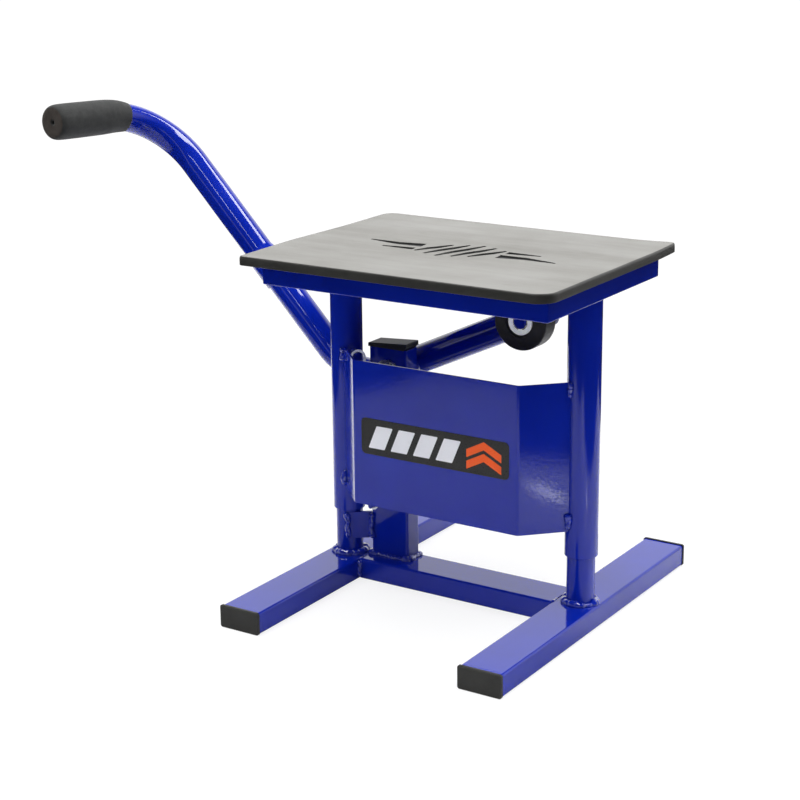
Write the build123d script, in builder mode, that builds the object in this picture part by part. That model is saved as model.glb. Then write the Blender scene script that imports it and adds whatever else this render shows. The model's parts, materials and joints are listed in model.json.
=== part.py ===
from build123d import *
import os
from math import sin, cos, tan, radians, atan2, hypot

# Lift stand for an off-road motorcycle: a floor frame with two round posts, a table that
# slides up and down them, and a cranked lever whose roller pushes the table up.
# Frame: origin on the floor midway between the posts, +X right along the table's long side
# (the handle reaches to -X), +Y back to the lever side, +Z up. Millimetres.

os.makedirs("parts", exist_ok=True)

# ---------------------------------------------------------------- driving dimensions
SIDES = (("left", -1), ("right", 1))

# rectangular tubes and the plastic plugs in their ends
wall = 2.0
tube_r = 2.2            # outside corner radius
tube_inner_r = 0.7
plug_slack = 0.3        # on the full width
plug_wall = 1.65
plug_r = 0.8

# floor frame
foot_x = 122.0          # foot centre distance from the middle
foot_w, foot_h = 40.0, 20.0
foot_half = 172.0       # half length of a foot tube without its end caps
cross_y0, cross_y1 = -15.0, 25.0

# posts and the sleeves that slide on them
post_x = 122.6
post_d, post_bore = 25.0, 21.0
post_top = 305.0
sleeve_d, sleeve_bore = 29.4, 25.8
sleeve_z0 = 64.0

# pivot post, which carries the lever
pivot_x, pivot_z = -79.5, 200.0
pivot_post_w, pivot_post_d = 40.0, 20.0
pivot_post_y0 = 2.4     # front face
pivot_post_y = pivot_post_y0 + pivot_post_d / 2
pivot_post_top = 222.4

# table
tray_x = 141.2
tray_y0, tray_y1 = -100.3, 102.4
tray_z0, tray_z1 = 295.2, 315.0
sheet = 2.0
sheet_top_inside = tray_z1 - sheet

# lever and handle
lever_y = 37.7          # plane of the lever tubes
lever_d, lever_bore = 26.5, 21.9
hub_d = 34.0
hub_y0, hub_y1 = 24.4, 51.0
lever_travel = radians(65.0)

# roller
roller_x, roller_z = 57.0, 263.7
roller_d, roller_w = 50.8, 19.0
roller_y0 = 4.0
axle_d = 12.0

roller_arm_r = hypot(roller_x - pivot_x, roller_z - pivot_z)
arm_angle = atan2(roller_z - pivot_z, roller_x - pivot_x)
table_lift = roller_arm_r * (sin(arm_angle + lever_travel) - sin(arm_angle))
lift_per_rad = table_lift / lever_travel


# ---------------------------------------------------------------- helpers
def export_piece(part, name):
    part.label = name
    export_step(part, f"parts/{name}.step")


def largest_solid(part):
    return part.solids().sort_by(SortBy.VOLUME)[-1]


def plane_y(x, y, z, sign=1):
    """Upright plane facing back (+Y), or front (-Y) with sign -1."""
    return Plane(origin=(x, y, z), x_dir=(1, 0, 0), z_dir=(0, sign, 0))


# The next three draw into the sketch that is open where they are called.
def ring(outer_r, inner_r):
    Circle(outer_r)
    Circle(inner_r, mode=Mode.SUBTRACT)


def tube_section(width, depth):
    RectangleRounded(width, depth, tube_r)
    RectangleRounded(width - 2 * wall, depth - 2 * wall, tube_inner_r, mode=Mode.SUBTRACT)


def plug_section(tube_width, tube_depth):
    width = tube_width - 2 * wall - plug_slack
    depth = tube_depth - 2 * wall - plug_slack
    RectangleRounded(width, depth, plug_r)
    RectangleRounded(width - 2 * plug_wall, depth - 2 * plug_wall, plug_r, mode=Mode.SUBTRACT)


def rect_tube(plane, width, depth, half_length):
    """Rectangular tube reaching half_length to both sides of the plane."""
    with BuildPart() as tube:
        with BuildSketch(plane):
            tube_section(width, depth)
        extrude(amount=half_length, both=True)
    return tube.part


def upright_tube(x, z0, z1, outer_d, bore, face_index, chamfer_len):
    """Round tube along Z; face_index 0 chamfers its bottom end, -1 its top end."""
    with BuildPart() as tube:
        with BuildSketch(Plane(origin=(x, 0, z0))):
            ring(outer_d / 2, bore / 2)
        extrude(amount=z1 - z0)
        chamfer(tube.faces().sort_by(Axis.Z)[face_index].edges(), length=chamfer_len)
    return tube.part


def bend_points(corner, way_in, way_out, radius):
    """Start, middle, end and centre of the arc that rounds a corner of a path."""
    half_turn = radians(way_in.get_angle(way_out)) / 2
    setback = radius * tan(half_turn)
    to_centre = (way_out - way_in).normalized()
    centre = corner + to_centre * (radius / cos(half_turn))
    start, end = corner - way_in * setback, corner + way_out * setback
    return start, centre - to_centre * radius, end, centre


# ---------------------------------------------------------------- floor frame and posts
for side, sign in SIDES:
    foot_plane = plane_y(sign * foot_x, 0, foot_h / 2, -1)
    export_piece(rect_tube(foot_plane, foot_w, foot_h, foot_half), f"{side}_foot")
    post = upright_tube(sign * post_x, foot_h, post_top, post_d, post_bore, -1, 0.6)
    export_piece(post, f"{side}_post")

cross_plane = Plane(
    origin=(0, (cross_y0 + cross_y1) / 2, foot_h / 2), x_dir=(0, 1, 0), z_dir=(1, 0, 0)
)
cross_tube = rect_tube(cross_plane, cross_y1 - cross_y0, foot_h, foot_x - foot_w / 2)
export_piece(cross_tube, "cross_tube")

# plastic plugs: a flange a little wider than the tube and a hollow insert with a slack fit
cap_t = 3.0             # flange thickness
cap_lip = 0.8           # how far the flange stands past the tube at the sides and top
cap_insert_len = 12.0
with BuildPart() as foot_end_caps:
    for sign_x in (-1, 1):
        for sign_y in (-1, 1):
            cap_x, cap_y = sign_x * foot_x, sign_y * foot_half
            with BuildSketch(plane_y(cap_x, cap_y, (foot_h + cap_lip) / 2, sign_y)):
                RectangleRounded(foot_w + 2 * cap_lip, foot_h + cap_lip, tube_r)
            extrude(amount=cap_t)
            with BuildSketch(plane_y(cap_x, cap_y, foot_h / 2, sign_y)):
                plug_section(foot_w, foot_h)
            extrude(amount=-cap_insert_len)
    outer_edges = foot_end_caps.edges().filter_by(
        lambda e: abs(abs(e.center().Y) - foot_half - cap_t) < 1e-3
    )
    chamfer(outer_edges, length=0.7)
export_piece(foot_end_caps.part, "foot_end_caps")

# ---------------------------------------------------------------- pivot post
bolt_d = 12.0
bolt_hole_slack = 0.1   # on the radius

with BuildPart() as pivot_post:
    with BuildSketch(Plane(origin=(pivot_x, pivot_post_y, foot_h))):
        tube_section(pivot_post_w, pivot_post_d)
    extrude(amount=pivot_post_top - foot_h)
    # hole for the pivot bolt, through both walls
    with BuildSketch(plane_y(pivot_x, pivot_post_y0 - 1, pivot_z)):
        Circle(bolt_d / 2 + bolt_hole_slack)
    extrude(amount=pivot_post_d + 2, mode=Mode.SUBTRACT)
export_piece(pivot_post.part, "pivot_post")

# diagonal gusset between the left post and the front edge of the pivot post
bracket_t = 3.0
bracket_z0, bracket_h = 36.0, 26.0
bracket_ax, bracket_ay = -116.0, -11.4      # end at the left post
bracket_bx = pivot_x - pivot_post_w / 2 + 1.0
bracket_by = pivot_post_y0 - 0.05
bracket_len = hypot(bracket_bx - bracket_ax, bracket_by - bracket_ay)
offset_x = -(bracket_by - bracket_ay) / bracket_len * bracket_t
offset_y = (bracket_bx - bracket_ax) / bracket_len * bracket_t
cut_z0, cut_h = 30.0, 40.0
with BuildPart() as post_bracket:
    with BuildSketch(Plane.XY.offset(bracket_z0)):
        with BuildLine():
            Polyline(
                (bracket_ax, bracket_ay),
                (bracket_bx, bracket_by),
                (bracket_bx + offset_x, bracket_by + offset_y),
                (bracket_ax + offset_x, bracket_ay + offset_y),
                (bracket_ax, bracket_ay),
            )
        make_face()
    extrude(amount=bracket_h)
    with BuildSketch(Plane(origin=(-post_x, 0, cut_z0))):
        Circle(post_d / 2)
    extrude(amount=cut_h, mode=Mode.SUBTRACT)
    with BuildSketch(Plane(origin=(pivot_x, pivot_post_y, cut_z0))):
        RectangleRounded(pivot_post_w, pivot_post_d, tube_r)
    extrude(amount=cut_h, mode=Mode.SUBTRACT)
export_piece(largest_solid(post_bracket.part), "post_bracket")

# push-in cap of the pivot post; its pad slopes up to the roller side
pad_profile = (         # X from the pivot, Z above the post
    (-20.6, 0.0), (18.0, 0.0), (20.8, 3.4), (20.8, 6.4), (-20.6, 3.4), (-20.6, 0.0),
)
pad_lip = 0.6           # past the post at front and back
pad_insert_len = 9.0
with BuildPart() as pivot_post_cap:
    with BuildSketch(plane_y(pivot_x, pivot_post_y, pivot_post_top, -1)):
        with BuildLine():
            Polyline(*pad_profile)
        make_face()
    extrude(amount=pivot_post_d / 2 + pad_lip, both=True)
    pad_top_edges = pivot_post_cap.edges().filter_by(
        lambda e: e.center().Z > pivot_post_top + 2.6
    )
    fillet(pad_top_edges, radius=0.8)
    with BuildSketch(Plane(origin=(pivot_x, pivot_post_y, pivot_post_top))):
        plug_section(pivot_post_w, pivot_post_d)
    extrude(amount=-pad_insert_len)
export_piece(pivot_post_cap.part, "pivot_post_cap")

# ---------------------------------------------------------------- pivot bolt set
hex_af = 19.0           # across flats, bolt head and nut
hex_turn = 12.0         # degrees
head_h = 7.5
front_washer_t = 2.4
spacer_t = 1.6
back_washer_y, back_washer_t = 51.4, 2.5
washer_d = 24.0
nut_h, nut_collar_h = 10.0, 2.5
nut_collar_r = 8.2
bolt_tail = 3.0         # past the nut
head_y = pivot_post_y0 - front_washer_t     # seat of the head
nut_y = back_washer_y + back_washer_t

with BuildPart() as pivot_bolt:
    with BuildSketch(plane_y(pivot_x, head_y, pivot_z, -1)):
        RegularPolygon(hex_af / 2, 6, major_radius=False, rotation=hex_turn)
    extrude(amount=head_h)
    with BuildSketch(plane_y(pivot_x, head_y, pivot_z)):
        Circle(bolt_d / 2)
    extrude(amount=nut_y + nut_h + bolt_tail - head_y)
    chamfer(pivot_bolt.faces().sort_by(Axis.Y)[-1].edges(), length=1.0)
    chamfer(pivot_bolt.faces().sort_by(Axis.Y)[0].edges(), length=0.8)
export_piece(pivot_bolt.part, "pivot_bolt")

nut_plane = plane_y(pivot_x, nut_y, pivot_z)
with BuildPart() as pivot_nut:
    with BuildSketch(nut_plane):
        RegularPolygon(hex_af / 2, 6, major_radius=False, rotation=hex_turn)
    extrude(amount=nut_h - nut_collar_h)
    chamfer(pivot_nut.faces().sort_by(Axis.Y)[-1].edges(), length=0.7)
    with BuildSketch(nut_plane):
        Circle(nut_collar_r)
    extrude(amount=nut_h)
    with BuildSketch(nut_plane):
        Circle(bolt_d / 2 + 0.02)
    extrude(amount=nut_h, mode=Mode.SUBTRACT)
export_piece(pivot_nut.part, "pivot_nut")

# front washer under the head, thin spacer behind the post, back washer under the nut
washer_stations = (     # front face Y, thickness
    (head_y, front_washer_t),
    (pivot_post_y0 + pivot_post_d, spacer_t),
    (back_washer_y, back_washer_t),
)
with BuildPart() as pivot_washers:
    for washer_y, thickness in washer_stations:
        with BuildSketch(plane_y(pivot_x, washer_y, pivot_z)):
            ring(washer_d / 2, bolt_d / 2 + 0.3)
        extrude(amount=thickness)
export_piece(pivot_washers.part, "pivot_washers")

# ---------------------------------------------------------------- table
for side, sign in SIDES:
    sleeve = upright_tube(
        sign * post_x, sleeve_z0, sheet_top_inside, sleeve_d, sleeve_bore, 0, 0.5
    )
    export_piece(sleeve, f"{side}_sleeve")

# folded tray, open underneath
tray_edge_r = 1.2
tray_w = tray_y1 - tray_y0
tray_plane = Plane(origin=(0, (tray_y0 + tray_y1) / 2, tray_z0))
with BuildPart() as table_tray:
    with BuildSketch(tray_plane):
        RectangleRounded(2 * tray_x, tray_w, tray_edge_r)
    extrude(amount=tray_z1 - tray_z0)
    fillet(table_tray.faces().sort_by(Axis.Z)[-1].edges(), radius=tray_edge_r)
    with BuildSketch(tray_plane):
        Rectangle(2 * (tray_x - sheet), tray_w - 2 * sheet)
    extrude(amount=sheet_top_inside - tray_z0, mode=Mode.SUBTRACT)
export_piece(table_tray.part, "table_tray")

mat_x = 151.8
mat_y0, mat_y1 = -121.5, 117.0
mat_t = 8.0
mat_corners = (         # X, Y, corner radius
    (-mat_x, mat_y0, 5.0), (mat_x, mat_y0, 18.0), (mat_x, mat_y1, 7.0), (-mat_x, mat_y1, 12.0),
)
with BuildPart() as rubber_mat:
    with BuildSketch(Plane(origin=(0, (mat_y0 + mat_y1) / 2, tray_z1))):
        Rectangle(2 * mat_x, mat_y1 - mat_y0)
    extrude(amount=mat_t)
    for x, y, radius in mat_corners:
        corner_edge = rubber_mat.edges().filter_by(Axis.Z).sort_by(
            lambda e: hypot(e.center().X - x, e.center().Y - y)
        )[0]
        fillet(corner_edge, radius=radius)
    fillet(rubber_mat.faces().sort_by(Axis.Z)[-1].edges(), radius=1.5)
export_piece(rubber_mat.part, "rubber_mat")

# bent cover sheet: flat front, two wings back to the sleeves
cover_y = -46.4         # front face
cover_bend_x = 84.5
cover_end_x, cover_end_y = 118.5, -12.0
cover_z0, cover_z1 = 88.0, 222.5
cover_bend_r = 4.6      # outside radius
wing_dx, wing_dy = cover_end_x - cover_bend_x, cover_end_y - cover_y
wing_len = hypot(wing_dx, wing_dy)
inner_y = cover_y + sheet
inner_bend_x = cover_bend_x - sheet * tan(atan2(wing_dy, wing_dx) / 2)
inner_end_x = cover_end_x - wing_dy / wing_len * sheet
inner_end_y = cover_end_y + wing_dx / wing_len * sheet
with BuildPart() as cover_plate:
    with BuildSketch(Plane.XY.offset(cover_z0)) as cover_section:
        with BuildLine():
            Polyline(
                (-cover_end_x, cover_end_y),
                (-cover_bend_x, cover_y),
                (cover_bend_x, cover_y),
                (cover_end_x, cover_end_y),
                (inner_end_x, inner_end_y),
                (inner_bend_x, inner_y),
                (-inner_bend_x, inner_y),
                (-inner_end_x, inner_end_y),
                (-cover_end_x, cover_end_y),
            )
        make_face()
        outer_corners = cover_section.vertices().filter_by(lambda v: abs(v.Y - cover_y) < 1e-3)
        fillet(outer_corners, radius=cover_bend_r)
        inner_corners = cover_section.vertices().filter_by(
            lambda v: abs(v.Y - inner_y) < 1e-3 and abs(abs(v.X) - inner_bend_x) < 1e-3
        )
        fillet(inner_corners, radius=cover_bend_r - sheet)
    extrude(amount=cover_z1 - cover_z0)
    for sign in (-1, 1):
        with BuildSketch(Plane(origin=(sign * post_x, 0, cover_z0 - 1))):
            Circle(sleeve_d / 2)
        extrude(amount=cover_z1 - cover_z0 + 2, mode=Mode.SUBTRACT)
export_piece(cover_plate.part, "cover_plate")

# vinyl label on the front of the cover
decal_w, decal_h, decal_t = 152.0, 33.6, 0.3
decal_r = 4.5
decal_z = 154.0
with BuildPart() as decal:
    with BuildSketch(plane_y(0, cover_y, decal_z, -1)):
        RectangleRounded(decal_w, decal_h, decal_r)
    extrude(amount=decal_t)
export_piece(decal.part, "decal")

# Cam track under the tray. Its underside is the envelope of the roller's path as the table
# sees it, so the roller stays just clear of it through the whole lift.
track_gap = 0.4
track_y0, track_y1 = 3.0, 23.9
track_wall = 2.0
track_floor = 2.2
track_end_drop = 1.0    # end walls reach this far below the ends of the curve
track_steps = 26


def track_point(turn):
    """X and Z of the underside where the roller touches after the lever has turned."""
    angle = arm_angle + turn
    x = pivot_x + roller_arm_r * cos(angle)
    z = pivot_z + roller_arm_r * sin(angle) - lift_per_rad * turn
    dx = -roller_arm_r * sin(angle)
    dz = roller_arm_r * cos(angle) - lift_per_rad
    speed = hypot(dx, dz)
    reach = roller_d / 2 + track_gap
    return x + dz / speed * reach, z - dx / speed * reach


underside = [track_point(lever_travel * k / track_steps) for k in range(track_steps + 1)]
channel_floor = [(x, z + track_floor) for x, z in underside]
track_right_x, track_right_z = underside[0]
track_left_x, track_left_z = underside[-1]
with BuildPart() as roller_track:
    with BuildSketch(plane_y(0, track_y1, 0, -1)):
        with BuildLine():
            Spline(*underside)
            Polyline(
                underside[-1],
                (track_left_x - track_wall, track_left_z - track_end_drop),
                (track_left_x - track_wall, sheet_top_inside),
                (track_right_x + track_wall, sheet_top_inside),
                (track_right_x + track_wall, track_right_z - track_end_drop),
                underside[0],
            )
        make_face()
    extrude(amount=track_y1 - track_y0)
    # channel open towards the tray
    with BuildSketch(plane_y(0, track_y1 - track_wall, 0, -1)):
        with BuildLine():
            Spline(*channel_floor)
            Polyline(
                channel_floor[-1],
                (track_left_x, sheet_top_inside + 1),
                (track_right_x, sheet_top_inside + 1),
                channel_floor[0],
            )
        make_face()
    extrude(amount=track_y1 - track_y0 - 2 * track_wall, mode=Mode.SUBTRACT)
export_piece(roller_track.part, "roller_track")

# ---------------------------------------------------------------- lever
bush_d, bush_bore = 18.0, 12.12
bush_stand = 0.3        # past the hub at each end
low_bend_r = 62.0
joint_from_corner = 126.0
insert_len = 26.0       # lever tube inside the handle socket
arm_tail = 13.0         # roller arm beyond the axle
handle_slope = radians(46.29)
handle_px, handle_pz = -212.0, 251.0    # a point on the handle's centre line

arm_dir = Vector(cos(arm_angle), 0, sin(arm_angle))
run_dir = Vector(-cos(handle_slope), 0, sin(handle_slope))
pivot_pt = Vector(pivot_x, lever_y, pivot_z)
# lower corner: where the arm's line meets the handle's line
arm_tan, run_tan = tan(arm_angle), -tan(handle_slope)
corner_x = (handle_pz - run_tan * handle_px - pivot_z + arm_tan * pivot_x) / (arm_tan - run_tan)
corner_z = pivot_z + arm_tan * (corner_x - pivot_x)
low_corner = Vector(corner_x, lever_y, corner_z)
low_start, low_mid, low_end, _ = bend_points(low_corner, -arm_dir, run_dir, low_bend_r)
joint_pt = low_corner + run_dir * joint_from_corner

with BuildPart() as lever_hub:
    with BuildSketch(plane_y(pivot_x, hub_y0, pivot_z)):
        ring(hub_d / 2, bush_d / 2)
    extrude(amount=hub_y1 - hub_y0)
    rims = lever_hub.edges().filter_by(GeomType.CIRCLE).group_by(SortBy.LENGTH)[-1]
    chamfer(rims, length=0.6)
export_piece(lever_hub.part, "lever_hub")

with BuildPart() as hub_bush:
    with BuildSketch(plane_y(pivot_x, hub_y0 - bush_stand, pivot_z)):
        ring(bush_d / 2, bush_bore / 2)
    extrude(amount=hub_y1 - hub_y0 + 2 * bush_stand)
export_piece(hub_bush.part, "hub_bush")

# cuts across the lever tubes start in front of the hub and end behind it
cut_y, cut_len = hub_y0 - 5, 40.0
with BuildPart() as lever_tube:
    with BuildLine():
        Line(pivot_pt, low_start)
        ThreePointArc(low_start, low_mid, low_end)
        Line(low_end, joint_pt + run_dir * insert_len)
    with BuildSketch(Plane(origin=pivot_pt, x_dir=(0, 1, 0), z_dir=-arm_dir)):
        ring(lever_d / 2, lever_bore / 2)
    sweep()
    with BuildSketch(plane_y(pivot_x, cut_y, pivot_z)):
        Circle(hub_d / 2)
    extrude(amount=cut_len, mode=Mode.SUBTRACT)
export_piece(largest_solid(lever_tube.part), "lever_tube")

with BuildPart() as roller_arm:
    with BuildSketch(Plane(origin=pivot_pt, x_dir=(0, 1, 0), z_dir=arm_dir)):
        ring(lever_d / 2, lever_bore / 2)
    extrude(amount=roller_arm_r + arm_tail)
    # saddle for the hub, then the axle hole
    for x, z, radius in (
        (pivot_x, pivot_z, hub_d / 2),
        (roller_x, roller_z, axle_d / 2 + 0.01),
    ):
        with BuildSketch(plane_y(x, cut_y, z)):
            Circle(radius)
        extrude(amount=cut_len, mode=Mode.SUBTRACT)
export_piece(largest_solid(roller_arm.part), "roller_arm")

# ---------------------------------------------------------------- handle
socket_len, socket_cone = 28.0, 7.0
socket_d, socket_bore = 29.7, 26.7
crank_corner = Vector(-369.1, lever_y, 415.3)   # corner of the handle's upper bend
crank_r = 70.8
grip_dir = Vector(-0.0906, -0.9954, 0.0300).normalized()
stub_len = 60.0         # tube beyond the bend, inside the grip
clamp_from_joint = 14.0
clamp_hole_r = 4.2

crank_start, crank_mid, crank_end, crank_centre = bend_points(
    crank_corner, run_dir, grip_dir, crank_r
)
run_start = joint_pt + run_dir * (socket_len + socket_cone)
clamp_pt = joint_pt + run_dir * clamp_from_joint

# swaged socket over the lever tube, straight run, crank bend, stub
with BuildPart() as handle_tube:
    with BuildLine():
        Line(run_start, crank_start)
        ThreePointArc(crank_start, crank_mid, crank_end)
        Line(crank_end, crank_end + grip_dir * stub_len)
    with BuildSketch(Plane(origin=run_start, x_dir=(0, 1, 0), z_dir=crank_start - run_start)):
        ring(lever_d / 2, lever_bore / 2)
    sweep()
    socket_plane = Plane(origin=joint_pt, x_dir=(0, 1, 0), z_dir=run_dir)
    # outside of the socket and its cone, then the bore
    for wide_d, narrow_d, mode in (
        (socket_d, lever_d, Mode.ADD),
        (socket_bore, lever_bore, Mode.SUBTRACT),
    ):
        with BuildSketch(socket_plane):
            Circle(wide_d / 2)
        extrude(amount=socket_len, mode=mode)
        with BuildSketch(socket_plane.offset(socket_len)):
            Circle(wide_d / 2)
        with BuildSketch(socket_plane.offset(socket_len + socket_cone)):
            Circle(narrow_d / 2)
        loft(mode=mode)
    # hole for the clamp bolt, back wall only
    with BuildSketch(plane_y(clamp_pt.X, lever_y, clamp_pt.Z)):
        Circle(clamp_hole_r)
    extrude(amount=20, mode=Mode.SUBTRACT)
export_piece(handle_tube.part, "handle_tube")

# clamp bolt and its welded nut on the back of the socket; the bolt presses on the lever tube
clamp_hex_af = 13.0
clamp_bolt_r = 4.0
clamp_head_h = 5.3
clamp_nut_y0 = lever_y + 12.0
clamp_nut_y1 = lever_y + socket_d / 2 + 6.5
clamp_tip_y = lever_y + lever_d / 2 + 0.01
with BuildPart() as handle_nut:
    with BuildSketch(plane_y(clamp_pt.X, clamp_nut_y0, clamp_pt.Z)):
        RegularPolygon(clamp_hex_af / 2, 6, major_radius=False, rotation=20)
        Circle(clamp_bolt_r + 0.02, mode=Mode.SUBTRACT)
    extrude(amount=clamp_nut_y1 - clamp_nut_y0)
    with BuildSketch(Plane(origin=joint_pt - run_dir * 10, x_dir=(0, 1, 0), z_dir=run_dir)):
        Circle(socket_d / 2)
    extrude(amount=60, mode=Mode.SUBTRACT)
export_piece(largest_solid(handle_nut.part), "handle_nut")

with BuildPart() as handle_bolt:
    with BuildSketch(plane_y(clamp_pt.X, clamp_tip_y, clamp_pt.Z)):
        Circle(clamp_bolt_r)
    extrude(amount=clamp_nut_y1 - clamp_tip_y)
    with BuildSketch(plane_y(clamp_pt.X, clamp_nut_y1, clamp_pt.Z)):
        RegularPolygon(clamp_hex_af / 2, 6, major_radius=False, rotation=5)
    extrude(amount=clamp_head_h)
    chamfer(handle_bolt.faces().sort_by(Axis.Y)[-1].edges(), length=0.6)
export_piece(handle_bolt.part, "handle_bolt")

# foam grip: follows the last of the bend, closed at the outer end
grip_d = 33.2
grip_len, grip_back = 70.0, 23.0        # beyond and before the end of the bend
grip_hollow_len = 62.0                  # hollow part beyond the bend
grip_angle = grip_back / crank_r
crank_radial = (crank_end - crank_centre).normalized()


def on_crank(angle):
    """Point on the bend, angle radians before its end."""
    return crank_centre + crank_radial * (crank_r * cos(angle)) - grip_dir * (crank_r * sin(angle))


grip_start = on_crank(grip_angle)
grip_start_dir = (grip_dir * cos(grip_angle) + crank_radial * sin(grip_angle)).normalized()
hollow_end = crank_end + grip_dir * grip_hollow_len
with BuildPart() as grip:
    with BuildLine():
        ThreePointArc(grip_start, on_crank(grip_angle / 2), crank_end)
        Line(crank_end, hollow_end)
    with BuildSketch(Plane(origin=grip_start, x_dir=crank_radial, z_dir=grip_start_dir)):
        ring(grip_d / 2, lever_d / 2 + 0.05)
    sweep()
    with BuildSketch(Plane(origin=hollow_end, x_dir=crank_radial, z_dir=grip_dir)):
        Circle(grip_d / 2)
    extrude(amount=grip_len - grip_hollow_len)
    end_face = grip.faces().sort_by(lambda f: (f.center() - crank_end).dot(grip_dir))[-1]
    fillet(end_face.edges(), radius=4.5)
export_piece(grip.part, "grip")

# ---------------------------------------------------------------- roller
axle_y0 = 3.0
axle_y1 = lever_y + lever_d / 2 + 0.8
groove_y, groove_w, groove_r = 4.6, 1.1, 5.4
with BuildPart() as roller_axle:
    with BuildSketch(plane_y(roller_x, axle_y0, roller_z)):
        Circle(axle_d / 2)
    extrude(amount=axle_y1 - axle_y0)
    # groove for the retaining ring
    with BuildSketch(plane_y(roller_x, groove_y, roller_z)):
        ring(axle_d / 2 + 1, groove_r)
    extrude(amount=groove_w, mode=Mode.SUBTRACT)
    chamfer(roller_axle.faces().sort_by(Axis.Y)[0].edges(), length=0.8)
export_piece(roller_axle.part, "roller_axle")

# retaining ring with its gap at the bottom
circlip_slack = 0.05
circlip_r, circlip_t = 7.2, 1.0
with BuildPart() as axle_circlip:
    with BuildSketch(plane_y(roller_x, groove_y + circlip_slack, roller_z)):
        ring(circlip_r, groove_r + circlip_slack)
        with Locations((0, 6.5)):
            Rectangle(4.2, 5.0, mode=Mode.SUBTRACT)
    extrude(amount=circlip_t)
export_piece(axle_circlip.part, "axle_circlip")

axle_washer_r, axle_washer_t = 10.0, 1.2
with BuildPart() as axle_washer:
    with BuildSketch(plane_y(roller_x, roller_y0 + roller_w + 0.15, roller_z)):
        ring(axle_washer_r, axle_d / 2 + 0.05)
    extrude(amount=axle_washer_t)
export_piece(axle_washer.part, "axle_washer")

# solid tyre with rounded shoulders and a recess round the bush
roller_plane = plane_y(roller_x, roller_y0, roller_z)
roller_bore_r = 10.0
recess_r, recess_depth = 14.0, 1.6
with BuildPart() as roller:
    with BuildSketch(roller_plane):
        Circle(roller_d / 2)
    extrude(amount=roller_w)
    fillet(roller.edges().filter_by(GeomType.CIRCLE), radius=1.6)
    for radius, depth in ((recess_r, recess_depth), (roller_bore_r, roller_w)):
        with BuildSketch(roller_plane):
            Circle(radius)
        extrude(amount=depth, mode=Mode.SUBTRACT)
export_piece(roller.part, "roller")

# flanged bush, set back a little from the roller's front face
bush_inset = 0.3
bush_steps = (          # radius, depth, mode
    (11.5, recess_depth - bush_inset, Mode.ADD),            # flange
    (roller_bore_r, roller_w - bush_inset, Mode.ADD),       # body
    (7.6, 2.6, Mode.SUBTRACT),                              # counterbore at the front
    (axle_d / 2 + 0.06, roller_w, Mode.SUBTRACT),           # bore
)
with BuildPart() as roller_bush:
    for radius, depth, mode in bush_steps:
        with BuildSketch(roller_plane.offset(bush_inset)):
            Circle(radius)
        extrude(amount=depth, mode=mode)
export_piece(roller_bush.part, "roller_bush")

# ---------------------------------------------------------------- hold-down spring and pins
spring_top = Vector(-104.0, -12.5, 215.0)   # centres of the end loops
spring_low = Vector(-92.0, -6.5, 74.0)
pin_r = 2.0
pin_offset = 2.1        # pin centre from the loop centre, towards the spring's end
upper_pin_from, upper_pin_len = 12.0, 14.5  # start from the post centre, length
lower_pin_len = 13.5
upper_pin_dir = Vector(spring_top.X + post_x, spring_top.Y, 0).normalized()
lower_pin_dir = Vector(0, -1, 0)

upper_pin_start = Vector(-post_x, 0, spring_top.Z + pin_offset) + upper_pin_dir * upper_pin_from
with BuildPart() as upper_spring_pin:
    with BuildSketch(Plane(origin=upper_pin_start, z_dir=upper_pin_dir)):
        Circle(pin_r)
    extrude(amount=upper_pin_len)
    with BuildSketch(Plane(origin=(-post_x, 0, spring_top.Z - 10))):
        Circle(sleeve_d / 2)
    extrude(amount=30, mode=Mode.SUBTRACT)
export_piece(largest_solid(upper_spring_pin.part), "upper_spring_pin")

with BuildPart() as lower_spring_pin:
    with BuildSketch(plane_y(spring_low.X, pivot_post_y0, spring_low.Z - pin_offset, -1)):
        Circle(pin_r)
    extrude(amount=lower_pin_len)
export_piece(lower_spring_pin.part, "lower_spring_pin")

# close-wound coil as a ribbed hollow body, with a loop at each end
coil_r, wire_r = 5.4, 1.0
rib_count = 56
valley_r = coil_r + wire_r * 0.55
hollow_r = coil_r - wire_r
coil_end_t = 1.6
loop_inset = 5.4        # loop centre to the coil body
loop_r = coil_r - 0.2
spring_axis = (spring_top - spring_low).normalized()
body_h = (spring_top - spring_low).length - 2 * loop_inset
rib_pitch = body_h / rib_count
body_base = spring_low + spring_axis * loop_inset
radial_dir = Vector(0, 1, 0).cross(spring_axis).normalized()

coil_profile = [(0.0, 0.0), (valley_r, 0.0)]    # radius, height
for k in range(rib_count):
    coil_profile.append((coil_r + wire_r, rib_pitch * (k + 0.5)))
    coil_profile.append((valley_r, rib_pitch * (k + 1)))
coil_profile += [
    (0.0, body_h), (0.0, body_h - coil_end_t), (hollow_r, body_h - coil_end_t),
    (hollow_r, coil_end_t), (0.0, coil_end_t), (0.0, 0.0),
]
with BuildPart() as hold_down_spring:
    with BuildSketch(
        Plane(origin=body_base, x_dir=radial_dir, z_dir=radial_dir.cross(spring_axis))
    ):
        with BuildLine():
            Polyline(*coil_profile)
        make_face()
    revolve(axis=Axis(body_base, spring_axis))
    for centre, direction in ((spring_top, upper_pin_dir), (spring_low, lower_pin_dir)):
        with Locations(Plane(origin=centre, z_dir=direction)):
            Torus(loop_r, wire_r)
export_piece(hold_down_spring.part, "hold_down_spring")
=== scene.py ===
# A blue steel stand with three moving bodies. "base" is the floor frame with its posts,
# "table" is the tray with its sleeves, cover plate and rubber mat, and "lever" is the hub
# with the roller arm and the long tube that ends in a foam grip. A wire spring joins base
# and table. X runs from left to right, -Y is the front, and +Z is up from the floor.
# Shapes are worked out in millimetres. Materials, lights and camera use metres.
import bpy
import bmesh
import json
import math
import random
from collections import namedtuple
from mathutils import Vector, Matrix, noise, geometry


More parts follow.
